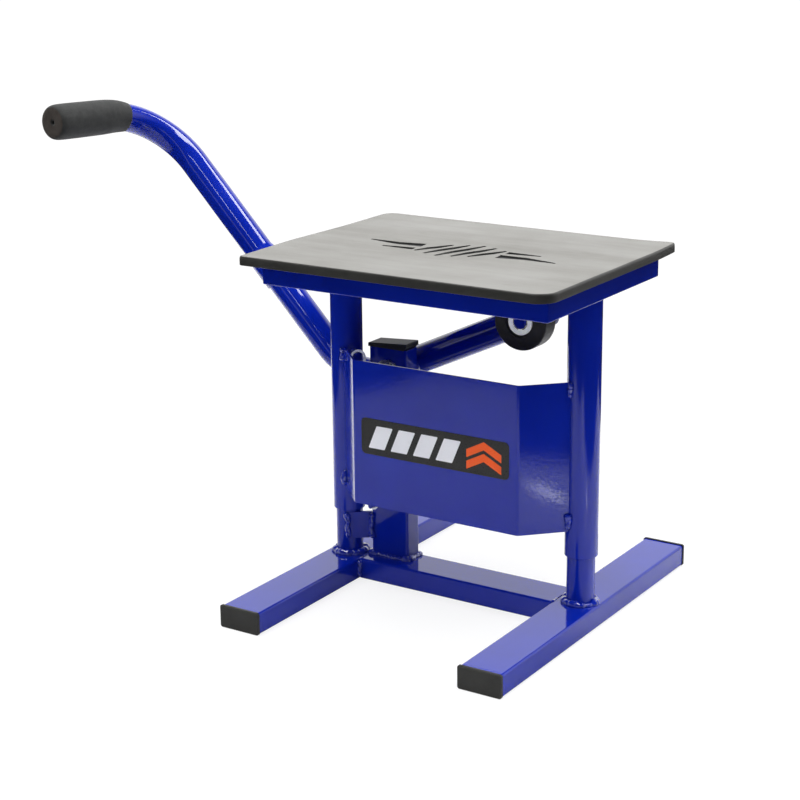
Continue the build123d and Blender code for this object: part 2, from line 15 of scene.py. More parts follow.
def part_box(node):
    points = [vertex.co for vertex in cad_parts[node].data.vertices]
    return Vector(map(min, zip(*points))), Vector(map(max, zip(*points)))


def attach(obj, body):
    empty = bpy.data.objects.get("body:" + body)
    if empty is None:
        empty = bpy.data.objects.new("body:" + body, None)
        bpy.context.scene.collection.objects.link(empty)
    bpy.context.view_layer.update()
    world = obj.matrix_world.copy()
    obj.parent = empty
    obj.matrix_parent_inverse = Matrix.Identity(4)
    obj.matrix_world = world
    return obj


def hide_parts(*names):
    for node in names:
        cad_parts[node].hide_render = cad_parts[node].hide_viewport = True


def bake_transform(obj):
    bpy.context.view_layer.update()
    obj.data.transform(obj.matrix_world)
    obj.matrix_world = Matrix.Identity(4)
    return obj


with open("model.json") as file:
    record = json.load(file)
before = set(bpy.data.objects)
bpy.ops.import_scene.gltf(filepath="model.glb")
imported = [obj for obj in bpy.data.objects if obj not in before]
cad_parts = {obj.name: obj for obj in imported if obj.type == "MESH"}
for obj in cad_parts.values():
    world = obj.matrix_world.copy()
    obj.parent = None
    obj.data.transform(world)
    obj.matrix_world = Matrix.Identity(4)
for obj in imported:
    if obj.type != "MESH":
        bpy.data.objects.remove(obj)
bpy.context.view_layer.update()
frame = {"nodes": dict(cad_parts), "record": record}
nodes = frame["nodes"]
MM = 0.001
X, Y, Z = Vector((1, 0, 0)), Vector((0, 1, 0)), Vector((0, 0, 1))
SIDES = (("left", -1), ("right", 1))

ROLLER_X, ROLLER_Z = 0.057, 0.2637      # axis of the roller, metres
LEVER_Y = 37.7                          # plane of the lever tubes
ARM_RADIUS = 13.25                      # of the tubes that meet the hub
GRIP_DIR = Vector((-0.0906, -0.9954, 0.0300)).normalized()

scene = bpy.context.scene
scene.view_settings.view_transform = "Standard"
scene.view_settings.look = "None"
scene.view_settings.exposure = 0.0
scene.view_settings.gamma = 1.0


# ============================================================ node helpers
class Nodes:
    """Short calls that add and wire the nodes of one tree."""

    def __init__(self, tree):
        self.tree = tree
        tree.nodes.clear()

    def new(self, kind):
        return self.tree.nodes.new(kind)

    def feed(self, socket, value):
        """Gives a socket a number, an RGB colour or a link."""
        if isinstance(value, (int, float)):
            socket.default_value = value
        elif isinstance(value, tuple):
            socket.default_value = (*value, 1)
        else:
            self.tree.links.new(value, socket)

    def math(self, operation, *values):
        node = self.new("ShaderNodeMath")
        node.operation = operation
        for socket, value in zip(node.inputs, values):
            self.feed(socket, value)
        return node.outputs[0]

    def add(self, first, second):
        return self.math("ADD", first, second)

    def sub(self, first, second):
        return self.math("SUBTRACT", first, second)

    def mul(self, first, second):
        return self.math("MULTIPLY", first, second)

    def larger(self, first, second):
        return self.math("MAXIMUM", first, second)

    def invert(self, value):
        return self.sub(1.0, value)

    def length(self, first, second):
        return self.math("SQRT", self.add(self.mul(first, first), self.mul(second, second)))

    def remap(self, value, span, to=(0, 1), smooth=False):
        """Takes the range span to the range to, held at both ends."""
        node = self.new("ShaderNodeMapRange")
        if smooth:
            node.interpolation_type = "SMOOTHSTEP"
        for key, number in zip(("From Min", "From Max", "To Min", "To Max"), (*span, *to)):
            node.inputs[key].default_value = number
        self.feed(node.inputs["Value"], value)
        return node.outputs[0]

    def split(self, vector):
        node = self.new("ShaderNodeSeparateXYZ")
        self.feed(node.inputs[0], vector)
        return node.outputs

    def mix_shaders(self, factor, first, second):
        node = self.new("ShaderNodeMixShader")
        for socket, value in zip(node.inputs, (factor, first, second)):
            self.feed(socket, value)
        return node.outputs[0]


class Material(Nodes):
    """A Principled material textured in object coordinates."""

    INPUTS = {"color": "Base Color", "rough": "Roughness", "metal": "Metallic", "ior": "IOR",
              "coat": "Coat Weight", "coat_rough": "Coat Roughness", "sheen": "Sheen Weight",
              "sheen_rough": "Sheen Roughness", "spec": "Specular IOR Level",
              "sss": "Subsurface Weight", "sss_scale": "Subsurface Scale", "normal": "Normal",
              "emission": "Emission Color", "emission_strength": "Emission Strength"}

    def __init__(self, name):
        self.material = bpy.data.materials.new(name)
        self.material.use_nodes = True
        super().__init__(self.material.node_tree)
        self.surface = self.new("ShaderNodeOutputMaterial").inputs["Surface"]
        self.principled = self.new("ShaderNodeBsdfPrincipled")
        self.feed(self.surface, self.principled.outputs[0])
        self.coords = self.new("ShaderNodeTexCoord").outputs["Object"]

    def set(self, **values):
        for key, value in values.items():
            self.feed(self.principled.inputs[self.INPUTS[key]], value)

    def noise(self, scale, detail, rough, stretch=None, distortion=0.0):
        coords = self.coords
        if stretch:
            mapping = self.new("ShaderNodeMapping")
            mapping.inputs["Scale"].default_value = stretch
            self.feed(mapping.inputs["Vector"], coords)
            coords = mapping.outputs[0]
        node = self.new("ShaderNodeTexNoise")
        node.inputs["Scale"].default_value = scale
        node.inputs["Detail"].default_value = detail
        node.inputs["Roughness"].default_value = rough
        node.inputs["Distortion"].default_value = distortion
        self.feed(node.inputs["Vector"], coords)
        return node.outputs["Fac"]

    def blotch(self, scale, detail, rough, to=(0, 1)):
        """Noise with its middle range spread over the range to."""
        return self.remap(self.noise(scale, detail, rough), (0.3, 0.7), to)

    def voronoi(self, scale, feature="F1"):
        node = self.new("ShaderNodeTexVoronoi")
        node.feature = feature
        node.inputs["Scale"].default_value = scale
        self.feed(node.inputs["Vector"], self.coords)
        return node.outputs["Distance"]

    def ramp(self, factor, stops):
        node = self.new("ShaderNodeValToRGB")
        elements = node.color_ramp.elements
        while len(elements) > 1:
            elements.remove(elements[-1])
        elements[0].position = stops[0][0]
        elements[0].color = (*stops[0][1], 1)
        for position, color in stops[1:]:
            elements.new(position).color = (*color, 1)
        self.feed(node.inputs["Fac"], factor)
        return node.outputs["Color"]

    def mix(self, factor, first, second, share=None):
        """Colour mix. share scales the factor down."""
        if share is not None:
            factor = self.mul(factor, share)
        node = self.new("ShaderNodeMix")
        node.data_type = "RGBA"
        # inputs 0, 6 and 7 and output 2 are the sockets for colour
        for index, value in ((0, factor), (6, first), (7, second)):
            self.feed(node.inputs[index], value)
        return node.outputs[2]

    def bump(self, height, strength, distance, under=None):
        """Bump over the normal called under, distance in metres."""
        node = self.new("ShaderNodeBump")
        node.inputs["Strength"].default_value = strength
        node.inputs["Distance"].default_value = distance
        self.feed(node.inputs["Height"], height)
        if under is not None:
            self.feed(node.inputs["Normal"], under)
        return node.outputs[0]

    def dot(self, first):
        """A dot product node whose second input is still to be given."""
        node = self.new("ShaderNodeVectorMath")
        node.operation = "DOT_PRODUCT"
        self.feed(node.inputs[0], first)
        return node

    def object_normal(self):
        world_normal = self.new("ShaderNodeNewGeometry").outputs["Normal"]
        node = self.new("ShaderNodeVectorTransform")
        node.vector_type = "NORMAL"
        node.convert_from, node.convert_to = "WORLD", "OBJECT"
        self.feed(node.inputs[0], world_normal)
        return node.outputs[0]


# ============================================================ materials
def make_paint(name, peel_gain=1.0, peel_scale=340, peel_strength=0.30, peel_depth=0.00016,
               ior=1.50, coat=0.10):
    m = Material(name)
    # the film runs a little deeper and darker in broad, soft patches
    film = m.blotch(scale=14, detail=2, rough=0.5)
    color = m.mix(film, (0.0020, 0.0140, 0.305), (0.0036, 0.0195, 0.365))
    # tiny dust nibs under the film, in scattered patches
    nibs = m.remap(m.voronoi(scale=170), (0.030, 0.075), to=(1, 0))
    patches = m.remap(m.noise(scale=23, detail=1, rough=0.5), (0.60, 0.66))
    specks = m.mul(nibs, patches)
    color = m.mix(specks, color, (0.002, 0.004, 0.09), share=0.55)
    rough = m.remap(m.noise(scale=55, detail=3, rough=0.6), (0.35, 0.7), to=(0.055, 0.095))
    scuff = m.noise(scale=8, detail=6, rough=0.75, stretch=(6, 1, 1))
    rough = m.add(rough, m.remap(scuff, (0.62, 0.8), to=(0, 0.06)))
    # orange peel in two octaves, and the nibs standing proud
    peel = m.noise(scale=peel_scale, detail=1.5, rough=0.45)
    fine = m.noise(scale=900, detail=2, rough=0.5)
    normal = m.bump(peel, strength=peel_strength * peel_gain, distance=peel_depth)
    normal = m.bump(fine, strength=0.12 * peel_gain, distance=0.00003, under=normal)
    normal = m.bump(specks, strength=0.5 * peel_gain, distance=0.00008, under=normal)
    m.set(color=color, rough=rough, ior=ior, spec=0.5, coat=coat, coat_rough=0.04, normal=normal)
    return m.material


def make_cap_plastic(name):
    m = Material(name)
    tone = m.blotch(scale=60, detail=4, rough=0.6)
    color = m.mix(tone, (0.016, 0.016, 0.0145), (0.026, 0.026, 0.023))
    # lighter, rubbed look where the bevelled normal leaves the true one
    bevel = m.new("ShaderNodeBevel")
    bevel.samples = 4
    bevel.inputs["Radius"].default_value = 0.0011
    agreement = m.dot(bevel.outputs[0])
    m.feed(agreement.inputs[1], m.new("ShaderNodeNewGeometry").outputs["Normal"])
    edge = m.remap(agreement.outputs["Value"], (0.985, 0.80))
    edge = m.mul(edge, m.blotch(scale=300, detail=3, rough=0.6, to=(0.35, 1)))
    color = m.mix(edge, color, (0.070, 0.070, 0.064), share=0.55)
    grain = m.voronoi(scale=2100, feature="SMOOTH_F1")
    pits = m.noise(scale=1300, detail=3, rough=0.6)
    normal = m.bump(grain, strength=0.25, distance=0.00006)
    normal = m.bump(pits, strength=0.30, distance=0.00008, under=normal)
    m.set(color=color, rough=m.remap(pits, (0.3, 0.7), to=(0.46, 0.62)), ior=1.48, normal=normal)
    return m.material


def make_mat_rubber(name):
    m = Material(name)
    top = m.remap(m.split(m.object_normal())[2], (0.975, 0.999))
    # the flat face carries a pale film with long wiped streaks, the sides stay dark. The film is
    # partly dust and partly painted sheen: the top is painted lighter because it faces the light
    streak = m.noise(scale=4.2, detail=7, rough=0.66, stretch=(1.0, 5.0, 1.0))
    cloud = m.noise(scale=19, detail=5, rough=0.6)
    small_cloud = m.noise(scale=55, detail=4, rough=0.6)
    # the three weights add up to 1
    film = m.add(m.mul(streak, 0.55), m.add(m.mul(cloud, 0.33), m.mul(small_cloud, 0.12)))
    top_dust_and_sheen_color = m.ramp(film, [(0.32, (0.138, 0.133, 0.119)), (0.47, (0.172, 0.167, 0.152)),
                               (0.62, (0.204, 0.200, 0.187))])
    side_color = m.mix(m.blotch(scale=70, detail=4, rough=0.6),
                       (0.014, 0.0135, 0.0115), (0.024, 0.0235, 0.020))
    rubs = m.noise(scale=38, detail=6, rough=0.7, stretch=(1, 2.2, 1), distortion=0.6)
    top_dust_and_sheen_color = m.mix(m.remap(rubs, (0.60, 0.72)), top_dust_and_sheen_color, (0.110, 0.105, 0.085), share=0.28)
    # the top face gets the film of dust and painted sheen, the sides keep the rubber's own dark
    # colour
    color = m.mix(top, side_color, top_dust_and_sheen_color)
    # no film inside the grooves: their floors are painted dark, as painted shade in the recesses
    groove = m.new("ShaderNodeAttribute")
    groove.attribute_name = "groove"
    color = m.mix(groove.outputs["Fac"], color, (0.012, 0.012, 0.013))
    grain = m.noise(scale=1500, detail=3, rough=0.65)
    fine = m.voronoi(scale=2600, feature="SMOOTH_F1")
    drift = m.noise(scale=30, detail=3, rough=0.5)
    normal = m.bump(drift, strength=0.20, distance=0.0006)
    normal = m.bump(grain, strength=0.26, distance=0.00010, under=normal)
    normal = m.bump(fine, strength=0.14, distance=0.00005, under=normal)
    m.set(color=color, rough=m.remap(streak, (0.3, 0.7), to=(0.50, 0.38)), ior=1.5, spec=0.6,
          sheen=0.10, sheen_rough=0.5, normal=normal)
    return m.material


def make_foam(name, end_dir):
    m = Material(name)
    cells = m.voronoi(scale=1150)
    small_cells = m.voronoi(scale=2300)
    lumps = m.noise(scale=160, detail=4, rough=0.6)
    tone = m.remap(lumps, (0.3, 0.7))
    color = m.mix(tone, (0.022, 0.023, 0.023), (0.037, 0.038, 0.037))
    # painted shade: the cell centres, which the bump below sinks as pits, are painted darker
    wall = m.remap(cells, (0.10, 0.42))
    color = m.mix(m.invert(wall), color, (0.016, 0.016, 0.016), share=0.35)
    # cut end face, browner than the skin
    facing = m.dot(m.object_normal())
    facing.inputs[1].default_value = end_dir
    end_face = m.remap(facing.outputs["Value"], (0.86, 0.99))
    end_color = m.mix(tone, (0.036, 0.028, 0.023), (0.058, 0.046, 0.038))
    color = m.mix(end_face, color, end_color)
    normal = m.bump(lumps, strength=0.25, distance=0.0004)
    normal = m.bump(cells, strength=0.45, distance=0.00018, under=normal)
    normal = m.bump(small_cells, strength=0.30, distance=0.00008, under=normal)
    m.set(color=color, rough=0.86, ior=1.45, spec=0.35, sheen=0.26, sheen_rough=0.45,
          normal=normal)
    return m.material


def make_zinc(name, low=(0.46, 0.47, 0.49), high=(0.66, 0.66, 0.64), metal=1.0):
    m = Material(name)
    grain = m.noise(scale=420, detail=5, rough=0.65)
    color = m.mix(m.blotch(scale=70, detail=3, rough=0.6), low, high)
    stain = m.remap(m.noise(scale=190, detail=4, rough=0.7), (0.60, 0.75), to=(0, 0.45))
    color = m.mix(stain, color, (0.30, 0.29, 0.27))
    normal = m.bump(grain, strength=0.22, distance=0.00006)
    m.set(color=color, metal=metal, rough=m.remap(grain, (0.3, 0.7), to=(0.18, 0.36)),
          normal=normal)
    return m


def make_wire_with_painted_glow(name):
    # painted light: the pale, mostly non-metal base stands in for the bright reflections of the
    # zinc wire
    m = make_zinc(name, low=(0.88, 0.89, 0.90), high=(0.96, 0.96, 0.95), metal=0.25)
    # a faint painted glow, so that the wire reads bright
    m.set(emission=(0.95, 0.96, 0.98), emission_strength=0.12)
    return m.material


def make_roller_rubber(name, axis_x, axis_z):
    m = Material(name)
    x, _, z = m.split(m.coords)
    radius = m.length(m.sub(x, axis_x), m.sub(z, axis_z))
    # the tread is dull and painted lighter in mottled patches, a painted sheen; the faces are
    # darker with faint turned rings
    facing_y = m.math("ABSOLUTE", m.split(m.object_normal())[1])
    tread = m.remap(facing_y, (0.75, 0.25))
    tread_mottle = m.remap(m.noise(scale=240, detail=5, rough=0.7), (0.35, 0.68), to=(0.25, 1))
    color = m.mix(m.blotch(scale=90, detail=4, rough=0.6),
                  (0.010, 0.010, 0.0095), (0.019, 0.019, 0.018))
    tread_sheen = m.mul(tread_mottle, 0.85)
    # painted sheen: the tread is lighter than the faces
    color = m.mix(m.mul(tread, tread_sheen), color, (0.030, 0.030, 0.029))
    ring_phase = m.mul(radius, 5200.0)      # radians per metre of radius
    rings = m.mul(m.math("SINE", ring_phase), m.invert(tread))
    grit = m.noise(scale=1200, detail=4, rough=0.7)
    normal = m.bump(rings, strength=0.16, distance=0.00005)
    normal = m.bump(grit, strength=0.32, distance=0.00010, under=normal)
    m.set(color=color, rough=m.remap(tread_mottle, (0, 1), to=(0.42, 0.60)), ior=1.5, normal=normal)
    return m.material


def make_nylon(name):
    m = Material(name)
    color = m.mix(m.blotch(scale=150, detail=4, rough=0.6), (0.86, 0.86, 0.83), (0.94, 0.94, 0.91))
    smear = m.remap(m.noise(scale=90, detail=5, rough=0.7), (0.58, 0.72), to=(0, 0.35))
    color = m.mix(smear, color, (0.25, 0.24, 0.20))
    grain = m.noise(scale=900, detail=3, rough=0.6)
    m.set(color=color, rough=0.30, ior=1.53, sss=0.15, sss_scale=0.002,
          normal=m.bump(grain, strength=0.18, distance=0.00005))
    # a faint glow is painted light: it brightens the white bush, which sits in the shade under the
    # tray
    m.set(emission=(0.92, 0.93, 0.90), emission_strength=0.22)
    return m.material


def make_vinyl(name, low, high):
    m = Material(name)
    fine = m.noise(scale=900, detail=2, rough=0.5)
    color = m.mix(m.blotch(scale=45, detail=3, rough=0.5), low, high)
    waves = m.noise(scale=120, detail=2, rough=0.5)
    normal = m.bump(waves, strength=0.16, distance=0.00016)
    normal = m.bump(fine, strength=0.10, distance=0.00003, under=normal)
    m.set(color=color, rough=m.remap(fine, (0.3, 0.7), to=(0.26, 0.34)), ior=1.46, spec=0.45,
          normal=normal)
    return m.material


PAINT = make_paint("paint_blue_gloss")
PAINT_TUBE = make_paint("paint_blue_on_tube", peel_gain=0.22)
PAINT_WELD = make_paint("paint_blue_on_weld", peel_scale=420, peel_strength=0.6,
                        peel_depth=0.0002, ior=1.85, coat=0.6)
CAP = make_cap_plastic("moulded_black")
RUBBER = make_mat_rubber("mat_rubber_dust_and_painted_sheen")
FOAM = make_foam("foam_grip", tuple(GRIP_DIR))
ZINC = make_zinc("zinc_plate").material
ZINC_WIRE = make_wire_with_painted_glow("zinc_wire_painted_glow")
TYRE = make_roller_rubber("roller_black", ROLLER_X, ROLLER_Z)
NYLON = make_nylon("nylon_white")
VINYL = make_vinyl("vinyl_dark", low=(0.019, 0.019, 0.018), high=(0.027, 0.026, 0.025))
INK_WHITE = make_vinyl("ink_white", low=(0.90, 0.91, 0.96), high=(0.94, 0.95, 0.99))
INK_ORANGE = make_vinyl("ink_orange", low=(0.96, 0.100, 0.004), high=(0.99, 0.120, 0.006))

MATERIAL_OF_SLOT = {
    "blue_powder_coat": PAINT, "black_plastic": CAP, "mat_rubber": RUBBER, "grip_foam": FOAM,
    "zinc_steel": ZINC, "roller_rubber": TYRE, "bush_nylon": NYLON, "label_vinyl": VINYL}
ROUND_PARTS = ("left_post", "right_post", "left_sleeve", "right_sleeve", "lever_tube",
               "roller_arm", "handle_tube", "lever_hub")


def paint_cad_pieces():
    slot_of = {part["node"]: part["material_slot"] for part in frame["record"]["subparts"]}
    for name, piece in nodes.items():
        piece.data.materials.clear()
        piece.data.materials.append(MATERIAL_OF_SLOT[slot_of[name]])
    for name in ROUND_PARTS:
        nodes[name].data.materials[0] = PAINT_TUBE


paint_cad_pieces()


# ============================================================ softened edges of the CAD pieces
def smooth_group():
    """Geometry nodes that join doubled vertices and shade smooth."""
    group = bpy.data.node_groups.new("weld_and_smooth", "GeometryNodeTree")
    group.interface.new_socket("Geometry", in_out="INPUT", socket_type="NodeSocketGeometry")
    group.interface.new_socket("Geometry", in_out="OUTPUT", socket_type="NodeSocketGeometry")
    start, end = group.nodes.new("NodeGroupInput"), group.nodes.new("NodeGroupOutput")
    merge = group.nodes.new("GeometryNodeMergeByDistance")
    merge.inputs["Distance"].default_value = 0.000004
    smooth = group.nodes.new("GeometryNodeSetShadeSmooth")
    group.links.new(start.outputs[0], merge.inputs["Geometry"])
    group.links.new(merge.outputs[0], smooth.inputs["Geometry"])
    group.links.new(smooth.outputs[0], end.inputs[0])
    return group


SMOOTH = smooth_group()
EDGE_WIDTHS = {"table_tray": 0.95, "cover_plate": 0.35, "left_foot": 0.25, "right_foot": 0.25,
               "cross_tube": 0.25, "pivot_post": 0.25, "post_bracket": 0.5,
               "left_sleeve": 0.25, "right_sleeve": 0.25}


def soften(name, width):
    piece = nodes[name]
    join = piece.modifiers.new("join", "NODES")
    join.node_group = SMOOTH
    edge = piece.modifiers.new("edge", "BEVEL")
    edge.width = width * MM
    edge.segments = 2
    edge.limit_method = "ANGLE"
    edge.angle_limit = math.radians(32)
    edge.use_clamp_overlap = True
    shade = piece.modifiers.new("shade", "WEIGHTED_NORMAL")
    shade.weight = 100
    shade.keep_sharp = False


for part_name, edge_width in EDGE_WIDTHS.items():
    soften(part_name, edge_width)


# ============================================================ mesh helpers (millimetres)
Box = namedtuple("Box", "mid low high")


def box_of(name):
    low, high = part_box(name)
    return Box((low + high) / 2 / MM, low / MM, high / MM)


def smoothstep(t):
    return t * t * (3 - 2 * t)


def mesh_piece(name, verts, faces, body, material, smooth=True, sharp=None):
    """A mesh object riding on body. Edges over sharp degrees stay sharp."""
    mesh = bpy.data.meshes.new(name)
    mesh.from_pydata([(v[0] * MM, v[1] * MM, v[2] * MM) for v in verts], [], faces)
    mesh.validate(clean_customdata=False)
    mesh.update()
    mesh.materials.append(material)
    for face in mesh.polygons:
        face.use_smooth = smooth
    if sharp is not None:
        mesh.set_sharp_from_angle(angle=math.radians(sharp))
    piece = bpy.data.objects.new(name, mesh)
    scene.collection.objects.link(piece)
    if body:
        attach(piece, body)
    return piece


def add_subdivision(piece):
    modifier = piece.modifiers.new("round", "SUBSURF")
    modifier.levels = modifier.render_levels = 1


def resample(path, step, closed):
    """Evenly spaced points along a path, and the path's length."""
    points = [Vector(p) for p in path]
    if closed:
        points.append(points[0].copy())
    reached = [0.0]
    for start, end in zip(points, points[1:]):
        reached.append(reached[-1] + (end - start).length)
    total = reached[-1]
    count = max(3, int(round(total / step)))
    out, j = [], 0
    for i in range(count if closed else count + 1):
        distance = total * i / count
        while j < len(reached) - 2 and reached[j + 1] < distance:
            j += 1
        segment = reached[j + 1] - reached[j]
        t = 0 if segment < 1e-9 else (distance - reached[j]) / segment
        out.append(points[j].lerp(points[j + 1], t))
    return out, total


def sweep_rings(centres, radii_at, sides, up=Z, closed=False):
    """Rings round a centre line, carried along without twist.

    radii_at(i, angle) gives the two radii at ring i. An open sweep gets end caps.
    """
    count = len(centres)
    tangents = []
    for i in range(count):
        before = centres[(i - 1) % count] if (closed or i > 0) else centres[i]
        after = centres[(i + 1) % count] if (closed or i < count - 1) else centres[i]
        tangents.append((after - before).normalized())
    across = up.copy()
    if abs(across.dot(tangents[0])) > 0.95:
        across = Vector((1, 0, 0))
    across = (across - tangents[0] * across.dot(tangents[0])).normalized()
    verts, faces = [], []
    for i in range(count):
        across = (across - tangents[i] * across.dot(tangents[i])).normalized()
        other = tangents[i].cross(across)
        for k in range(sides):
            angle = 2 * math.pi * k / sides
            radius_a, radius_b = radii_at(i, angle)
            verts.append(centres[i] + across * (math.cos(angle) * radius_a)
                         + other * (math.sin(angle) * radius_b))
    for i in range(count if closed else count - 1):
        here, following = i * sides, ((i + 1) % count) * sides
        for k in range(sides):
            k_next = (k + 1) % sides
            faces.append((here + k, here + k_next, following + k_next, following + k))
    if not closed:
        faces.append(tuple(range(sides - 1, -1, -1)))
        faces.append(tuple((count - 1) * sides + k for k in range(sides)))
    return verts, faces


def weld_bead(name, path, body, radius, seed, pitch, lump, wander, closed=False):
    """A hand-laid weld: overlapping puddles along the path.

    pitch is the puddle spacing, lump how much puddle sizes differ, and wander how far
    the bead strays from its path.
    """
    draws = random.Random(seed)
    points, total = resample(path, 0.55, closed)
    count = len(points)
    puddles = max(1, round(total / pitch))
    phases = [draws.uniform(-0.18, 0.18) for _ in range(puddles + 2)]
    sizes = [1.0 + draws.uniform(-lump, lump) for _ in range(puddles + 2)]
    offset = Vector((seed * 13.7, seed * 3.1, seed * 7.9))

    def size_of(index):
        return sizes[index % puddles if closed else min(index, puddles)]

    radii, centres = [], []
    for i, point in enumerate(points):
        distance = total * i / count
        place = distance / total * puddles
        j = int(place)
        t = place - j + phases[j % len(phases)] * 0.5
        t = min(1.0, max(0.0, t))
        scallop = 0.80 + 0.20 * math.sqrt(max(0.0, 1 - (2 * t - 1) ** 2))
        size = size_of(j) + (size_of(j + 1) - size_of(j)) * smoothstep(t)
        taper = 1.0
        if not closed:
            from_end = min(distance, total - distance) / (radius * 1.1)
            taper = math.sqrt(max(0.05, 1 - (1 - min(1.0, from_end)) ** 2))
        radii.append(radius * scallop * size * taper)
        spot = offset + point * 0.16
        stray = Vector((noise.noise(spot), noise.noise(spot + Vector((9, 0, 0))),
                        noise.noise(spot + Vector((0, 9, 0)))))
        centres.append(point + stray * wander)

    def radii_at(i, angle):
        spot = centres[i] + Vector((math.cos(angle), math.sin(angle), angle)) * 1.4
        uneven = radii[i] * (1.0 + 0.10 * noise.noise(spot * 0.55 + offset))
        return uneven, uneven

    verts, faces = sweep_rings(centres, radii_at, sides=14, closed=closed)
    add_subdivision(mesh_piece(name, verts, faces, body, PAINT_WELD))


def circle(centre, radius, axis_a, axis_b, count=72):
    points = []
    for i in range(count):
        angle = 2 * math.pi * i / count
        points.append(Vector(centre) + axis_a * (radius * math.cos(angle))
                      + axis_b * (radius * math.sin(angle)))
    return points


# ============================================================ welds of the floor frame
left_post, right_post = box_of("left_post"), box_of("right_post")
post_radius = (left_post.high.x - left_post.low.x) / 2
foot_top = left_post.low.z
pivot_post = box_of("pivot_post")


def weld_posts():
    # side, post, height over the foot, gap round the post, radius, seed, pitch, wander
    rows = (("left", left_post, 0.7, 1.6, 3.9, 3, 5.8, 1.1),
            ("right", right_post, 0.6, 1.5, 3.7, 8, 5.2, 1.0))
    for side, post, rise, gap, radius, seed, pitch, wander in rows:
        centre = (post.mid.x, post.mid.y, foot_top + rise)
        weld_bead(f"weld_{side}_post_foot", circle(centre, post_radius + gap, X, Y), "base",
                  radius=radius, seed=seed, pitch=pitch, lump=0.34, wander=wander, closed=True)


def weld_pivot_post():
    low, high = pivot_post.low, pivot_post.high
    corner, gap = 2, 1.0            # corner radius of the post, and the bead's distance from it
    z = foot_top + 0.6
    path = []
    for centre_x, centre_y, start in ((high.x - corner, low.y + corner, -90),
                                      (high.x - corner, high.y - corner, 0),
                                      (low.x + corner, high.y - corner, 90),
                                      (low.x + corner, low.y + corner, 180)):
        for k in range(7):
            angle = math.radians(start + 15 * k)
            path.append(Vector((centre_x + (corner + gap) * math.cos(angle),
                                centre_y + (corner + gap) * math.sin(angle), z)))
    weld_bead("weld_pivot_post_foot", path, "base", radius=2.9, seed=12, pitch=4.6, lump=0.34,
              wander=0.7, closed=True)
    # a heavy lump round the front right corner
    path = [(high.x - 6.5, low.y - 0.9, z + 0.6), (high.x - 1.2, low.y - 1.0, z + 1.4),
            (high.x + 1.4, low.y + 1.6, z + 1.4), (high.x + 1.2, low.y + 7, z + 0.4)]
    weld_bead("weld_pivot_post_corner", path, "base", radius=3.2, seed=31, pitch=4.0, lump=0.30,
              wander=0.6)


def weld_cross_tube():
    tube = box_of("cross_tube")
    front, back = tube.low.y, tube.high.y
    for side, sign in SIDES:
        end_x = tube.low.x if sign < 0 else tube.high.x
        x = end_x - sign * 0.2
        weld_bead(f"weld_cross_front_{side}",
                  [(x, front - 0.8, 2.0), (x, front - 1.1, 10), (x, front - 0.8, 18.4)], "base",
                  radius=3.6, seed=41 + sign, pitch=6.2, lump=0.38, wander=0.7)
        weld_bead(f"weld_cross_back_{side}",
                  [(x, back + 0.3, 2.0), (x, back + 0.4, 10), (x, back + 0.3, 18.2)], "base",
                  radius=2.4, seed=47 + sign, pitch=5.2, lump=0.3, wander=0.5)
        # short run over the top seam
        run = 11.0 if sign > 0 else 8.0
        weld_bead(f"weld_cross_top_{side}",
                  [(end_x, front + 0.5, foot_top - 0.9), (end_x, front + run, foot_top - 1.2)],
                  "base", radius=1.9, seed=53 + sign, pitch=4.4, lump=0.25, wander=0.3)


def weld_gusset():
    gusset = box_of("post_bracket")
    low, high, mid_z = gusset.low, gusset.high, gusset.mid.z
    path = [(low.x - 0.2, low.y - 0.6, low.z + 1), (low.x - 0.1, low.y - 0.9, mid_z),
            (low.x - 0.2, low.y - 0.6, high.z - 1)]
    weld_bead("weld_gusset_post", path, "base", radius=3.3, seed=61, pitch=4.4, lump=0.42,
              wander=1.2)
    front = pivot_post.low.y
    path = [(high.x - 0.6, front - 1.5, low.z + 0.5), (high.x + 0.2, front - 1.4, mid_z),
            (high.x - 0.4, front - 1.4, high.z - 1)]
    weld_bead("weld_gusset_pivot", path, "base", radius=4.3, seed=67, pitch=4.6, lump=0.45,
              wander=1.3)


weld_posts()
weld_pivot_post()
weld_cross_tube()
weld_gusset()

# ============================================================ welds of the table and spring pins
SPRING_TOP = Vector((-102.0, -12.5, 213.8))     # where the loops hang on their pins
SPRING_LOW = Vector((-92.0, -6.5, 74.0))
UPPER_PIN_X = -104.0                            # a point on the upper pin, level with the loop

# the right wing of the cover plate runs between these two points (x, y), the left mirrors it
WING_START = (84.5, -46.4)
WING_END = (118.5, -12.0)

left_sleeve, right_sleeve = box_of("left_sleeve"), box_of("right_sleeve")
sleeve_radius = (left_sleeve.high.x - left_sleeve.low.x) / 2
upper_pin_dir = Vector((UPPER_PIN_X - left_sleeve.mid.x, SPRING_TOP.y, 0)).normalized()


def weld_sleeves():
    for side, sleeve, seed in (("left", left_sleeve, 71), ("right", right_sleeve, 77)):
        centre = (sleeve.mid.x, sleeve.mid.y, sleeve.high.z - 0.6)
        weld_bead(f"weld_sleeve_top_{side}", circle(centre, sleeve_radius + 1.2, X, Y), "table",
                  radius=3.2, seed=seed, pitch=4.8, lump=0.28, wander=0.8, closed=True)


